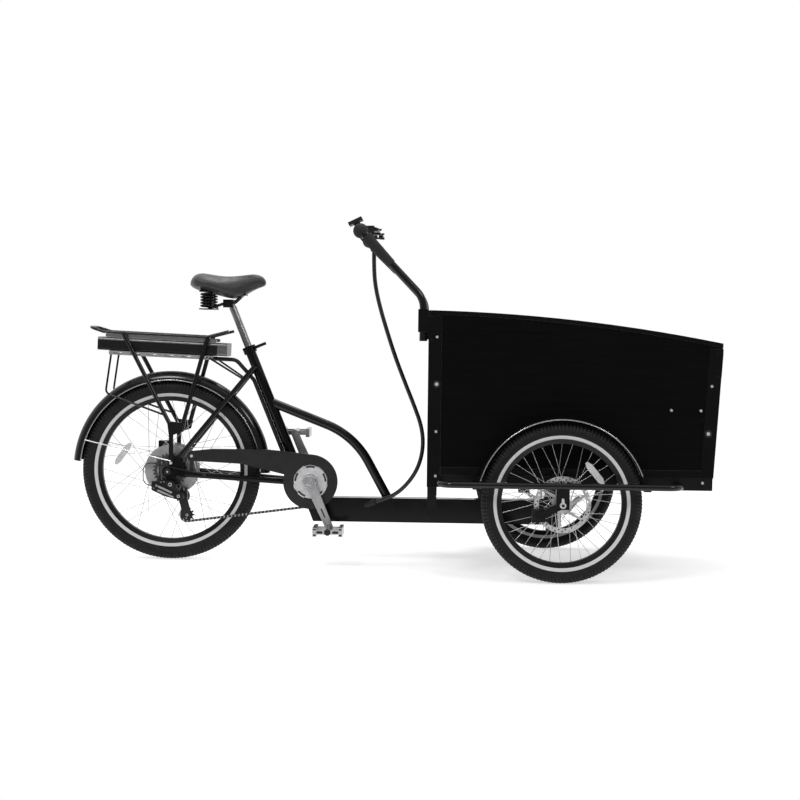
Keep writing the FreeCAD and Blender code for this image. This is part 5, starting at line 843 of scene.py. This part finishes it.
def saddle(material):
    """Padded cover through cross-sections: place, width, top and bottom as shares of its size."""
    low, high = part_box("saddle_cushion")
    rear, long = low.x - 0.0019, 0.269
    top_z, deep, half_width = high.z - 0.0042, 0.086, 0.104
    sections = ((0.005, 0.36, 0.60, 0.50), (0.055, 0.74, 0.92, 0.383), (0.12, 0.92, 1.0, 0.34),
                (0.23, 0.985, 0.95, 0.277), (0.354, 0.93, 0.883, 0.157), (0.464, 0.80, 0.85, 0.073),
                (0.586, 0.58, 0.867, 0.0), (0.685, 0.43, 0.907, 0.133), (0.773, 0.35, 0.943, 0.3),
                (0.862, 0.29, 0.967, 0.45), (0.928, 0.235, 0.917, 0.517), (0.978, 0.15, 0.75, 0.55))
    shape = bmesh.new()
    loops = []
    for place, width, top, bottom in sections:
        loops += saddle_ring(shape, rear + long * place, half_width * width, top_z - deep * (1 - top),
                             top_z - deep * (1 - bottom))
    bmesh.ops.bridge_loops(shape, edges=loops)
    bmesh.ops.holes_fill(shape, edges=shape.edges, sides=0)
    bmesh.ops.recalc_face_normals(shape, faces=shape.faces)
    piece = as_piece("saddle_cover", shape, material)
    round_off(piece, "round", 2)
    bake_modifiers(piece)
    settle_foam(piece, 0.003)
    round_off(piece, "smooth_skin", 1)
    for face in piece.data.polygons:
        face.use_smooth = True
    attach(piece, "seat")
    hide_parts("saddle_cushion")


def cable_bundle(material):
    """Sleeved bundle that hangs from the handlebar and goes into the beam."""
    route = ((698, -105, 1064), (698, -104, 1012), (703, -101, 950), (719, -97, 880), (746, -92, 791),
             (774, -86, 707), (807, -80, 623), (839, -74, 545), (863, -70, 480), (871, -68, 422),
             (864, -68, 364), (842, -68, 311), (809, -66, 269), (776, -59, 241), (742, -47, 225),
             (710, -33, 212))
    spots = [from_axle(x / 1000, y / 1000, z / 1000) for x, y, z in route]
    curve = bpy.data.curves.new("bundle_route", "CURVE")
    curve.dimensions = "3D"
    line = curve.splines.new("NURBS")
    line.points.add(len(route) - 1)
    for point, spot in zip(line.points, spots):
        point.co = (*spot, 1)
    line.order_u = 3
    line.use_endpoint_u = True
    line.resolution_u = 8
    holder = bpy.data.objects.new("bundle_route", curve)
    bpy.context.scene.collection.objects.link(holder)
    path = [vert.co.copy() for vert in bpy.data.meshes.new_from_object(holder).vertices]
    curve.bevel_depth = 0.007
    curve.bevel_resolution = 6
    curve.use_fill_caps = True
    graph = bpy.context.evaluated_depsgraph_get()
    mesh = bpy.data.meshes.new_from_object(holder.evaluated_get(graph))
    bpy.data.objects.remove(holder)
    piece = bpy.data.objects.new("cable_sleeve", mesh)
    bpy.context.scene.collection.objects.link(piece)
    mesh.materials.clear()
    mesh.materials.append(material)
    for face in mesh.polygons:
        face.use_smooth = len(face.vertices) == 4
    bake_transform(piece)
    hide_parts("cable_bundle")


# Floor and light

def floor():
    """Matt pale floor, lifted to near white where it shows."""
    shape = bmesh.new()
    made = bmesh.ops.create_grid(shape, x_segments=1, y_segments=1, size=16.0)["verts"]
    bmesh.ops.translate(shape, verts=made, vec=(0, 14.6, 0))
    material = bpy.data.materials.new("pale_floor")
    material.use_nodes = True
    tree = material.node_tree
    tree.nodes.remove(tree.nodes["Principled BSDF"])
    matt = tree.nodes.new("ShaderNodeBsdfDiffuse")
    matt.inputs["Color"].default_value = (0.8, 0.8, 0.8, 1)
    seen = tree.nodes.new("ShaderNodeBsdfDiffuse")
    seen.inputs["Color"].default_value = (0.62, 0.62, 0.62, 1)
    glow = tree.nodes.new("ShaderNodeEmission")
    glow.inputs["Strength"].default_value = 0.56
    both = tree.nodes.new("ShaderNodeAddShader")
    link(tree, seen.outputs[0], both.inputs[0])
    link(tree, glow.outputs[0], both.inputs[1])
    pick = tree.nodes.new("ShaderNodeMixShader")
    link(tree, shown_ray(tree), pick.inputs["Fac"])
    link(tree, matt.outputs[0], pick.inputs[1])
    link(tree, both.outputs[0], pick.inputs[2])
    link(tree, pick.outputs[0], tree.nodes["Material Output"].inputs["Surface"])
    as_piece("floor", shape, material)


def shown_ray(tree):
    """1 for rays that show the background: from the camera, off gloss and through glass."""
    ray = tree.nodes.new("ShaderNodeLightPath")
    shown = reckon(tree, "MAXIMUM", ray.outputs["Is Camera Ray"], ray.outputs["Is Glossy Ray"])
    return reckon(tree, "MAXIMUM", shown, ray.outputs["Is Transmission Ray"])


def studio_world():
    """Even light from all round, white to the camera, and darker in reflections of the front and sides."""
    world = bpy.data.worlds.new("studio")
    bpy.context.scene.world = world
    world.use_nodes = True
    tree = world.node_tree
    background = tree.nodes["Background"]
    ray = tree.nodes.new("ShaderNodeLightPath")
    axes = tree.nodes.new("ShaderNodeSeparateXYZ")
    link(tree, tree.nodes.new("ShaderNodeTexCoord").outputs["Generated"], axes.inputs[0])
    behind = spread(tree, axes.outputs["Y"], 0.26, 1.0, -0.5, 0.3)
    above = spread(tree, axes.outputs["Z"], 0.0, 1.0, 0.45, 0.95)
    room = reckon(tree, "MAXIMUM", behind, above)
    shown = reckon(tree, "MAXIMUM", ray.outputs["Is Glossy Ray"], ray.outputs["Is Transmission Ray"])
    level = tree.nodes.new("ShaderNodeMix")
    link(tree, shown, level.inputs["Factor"])
    level.inputs[2].default_value = 0.75
    link(tree, room, level.inputs[3])
    lit = tree.nodes.new("ShaderNodeMix")
    link(tree, ray.outputs["Is Camera Ray"], lit.inputs["Factor"])
    link(tree, level.outputs[0], lit.inputs[2])
    lit.inputs[3].default_value = 1.0
    link(tree, lit.outputs[0], background.inputs["Strength"])
    background.inputs["Color"].default_value = (1, 1, 1, 1)


def soft_light(name, place, aim, size, power):
    data = bpy.data.lights.new(name, "AREA")
    data.shape = "DISK"
    data.size = size
    data.energy = power
    lamp = bpy.data.objects.new(name, data)
    turn = (Vector(aim) - Vector(place)).to_track_quat("-Z", "Y").to_matrix().to_4x4()
    lamp.matrix_world = Matrix.Translation(place) @ turn
    bpy.context.scene.collection.objects.link(lamp)


def studio():
    scene = bpy.context.scene
    scene.view_settings.view_transform = "Standard"
    studio_world()
    floor()
    soft_light("key", (-1.6, -3.0, 3.6), (0, 0, 0.5), 1.3, 60)
    soft_light("fill", (2.6, -2.4, 2.8), (0.3, 0, 0.4), 1.0, 26)
    soft_light("top", (0.2, 1.2, 4.2), (0, 0, 0.4), 2.0, 50)


# The whole scene, step by step

photo_camera()
studio()
gloss_coat = painted_steel("gloss_black_coat", 0.0021, 0.14, 0.24)
satin_coat = painted_steel("satin_black_coat", 0.0038, 0.3, 0.42)
black_plastic = moulded_plastic("black_plastic", 0.009, 0.36, 0.48)
black_metal = painted_steel("black_alloy", 0.009, 0.28, 0.4)
silver_alloy = bare_metal("silver_alloy", 0.52, 0.26, 0.42, (1, 6, 1), 260.0)
bolt_steel = bare_metal("bolt_steel", 0.85, 0.2, 0.34, metallic=0.7)
dress_nodes(gloss_coat, satin_coat, black_plastic, black_metal, silver_alloy, bolt_steel)
soften_edges(("battery_tray", "handlebar_clamps", "front_brake_calipers", "rear_brake_caliper",
              "pedal_right", "pedal_left"), 0.0008)
# Paler coat on the strips' rounded edges: a painted highlight along them.
soften_edges(("box_edge_strips", "box_edge_trims"), 0.0014, painted_steel("painted_edge_highlights", 0.09, 0.2, 0.3))
crank_details(silver_alloy, black_plastic)
derailleur_details(silver_alloy, black_metal)
axle_details(bolt_steel, black_plastic)
cable_bundle(sleeve_weave())
# Bare alloy for the battery guides; on the mudguard beads this light metal is a painted highlight along the
# glossy black edges.
alloy_and_bead_highlight = bare_metal("alloy_and_bead_highlight", 0.42, 0.16, 0.26, (0.2, 1, 1), 300.0)
rolled_edges("rear_mudguard_beads", "frame", REAR_AXLE, REAR_GUARD_EDGE, *REAR_GUARD_ANGLES, GUARD_SIDES,
             alloy_and_bead_highlight)
front_line = Vector((RIGHT_AXLE.x, 0, RIGHT_AXLE.z))
front_sides = [axle.y + across for axle in (RIGHT_AXLE, LEFT_AXLE) for across in GUARD_SIDES]
rolled_edges("front_mudguard_beads", "front_unit", front_line, FRONT_GUARD_EDGE, *FRONT_GUARD_ANGLES,
             front_sides, alloy_and_bead_highlight)
battery_guides(alloy_and_bead_highlight)
# Block rubber lighter than the tyre wall: painted light that sets the blocks off from the shaded grooves.
painted_light_block_rubber = moulded_plastic("painted_light_block_rubber", 0.016, 0.6, 0.75, 700.0)
rear_rubber = tyre_rubber("rear_tyre_rubber", REAR_AXLE, REAR_SEAT, REAR_RADIUS - GROOVE_SHADE_DEPTH)
front_rubber = tyre_rubber("front_tyre_rubber", RIGHT_AXLE, FRONT_SEAT, FRONT_RADIUS - GROOVE_SHADE_DEPTH)
tyre("rear_tread", "rear_tyre", "rear_wheel", REAR_AXLE, REAR_RADIUS, REAR_SEAT, REAR_BLOCKS, rear_rubber,
     painted_light_block_rubber)
for side, axle in (("right", RIGHT_AXLE), ("left", LEFT_AXLE)):
    tyre("front_tread_" + side, "front_tyre_" + side, "front_wheel_" + side, axle, FRONT_RADIUS, FRONT_SEAT,
         FRONT_BLOCKS, front_rubber, painted_light_block_rubber)
saddle(saddle_vinyl())
lens = reflector_lens()
spoke_reflector("front_reflector_right", "front_wheel_right", RIGHT_AXLE, (0.075, -0.018, 0.1335),
                (0.131, -0.018, 0.0645), -1, lens)
spoke_reflector("front_reflector_left", "front_wheel_left", LEFT_AXLE, (0.075, 0.018, -0.1335),
                (0.131, 0.018, -0.0645), 1, lens)
spoke_reflector("rear_reflector", "rear_wheel", REAR_AXLE, (-0.140, -0.018, 0.0912),
                (-0.1916, -0.018, 0.0177), -1, lens)
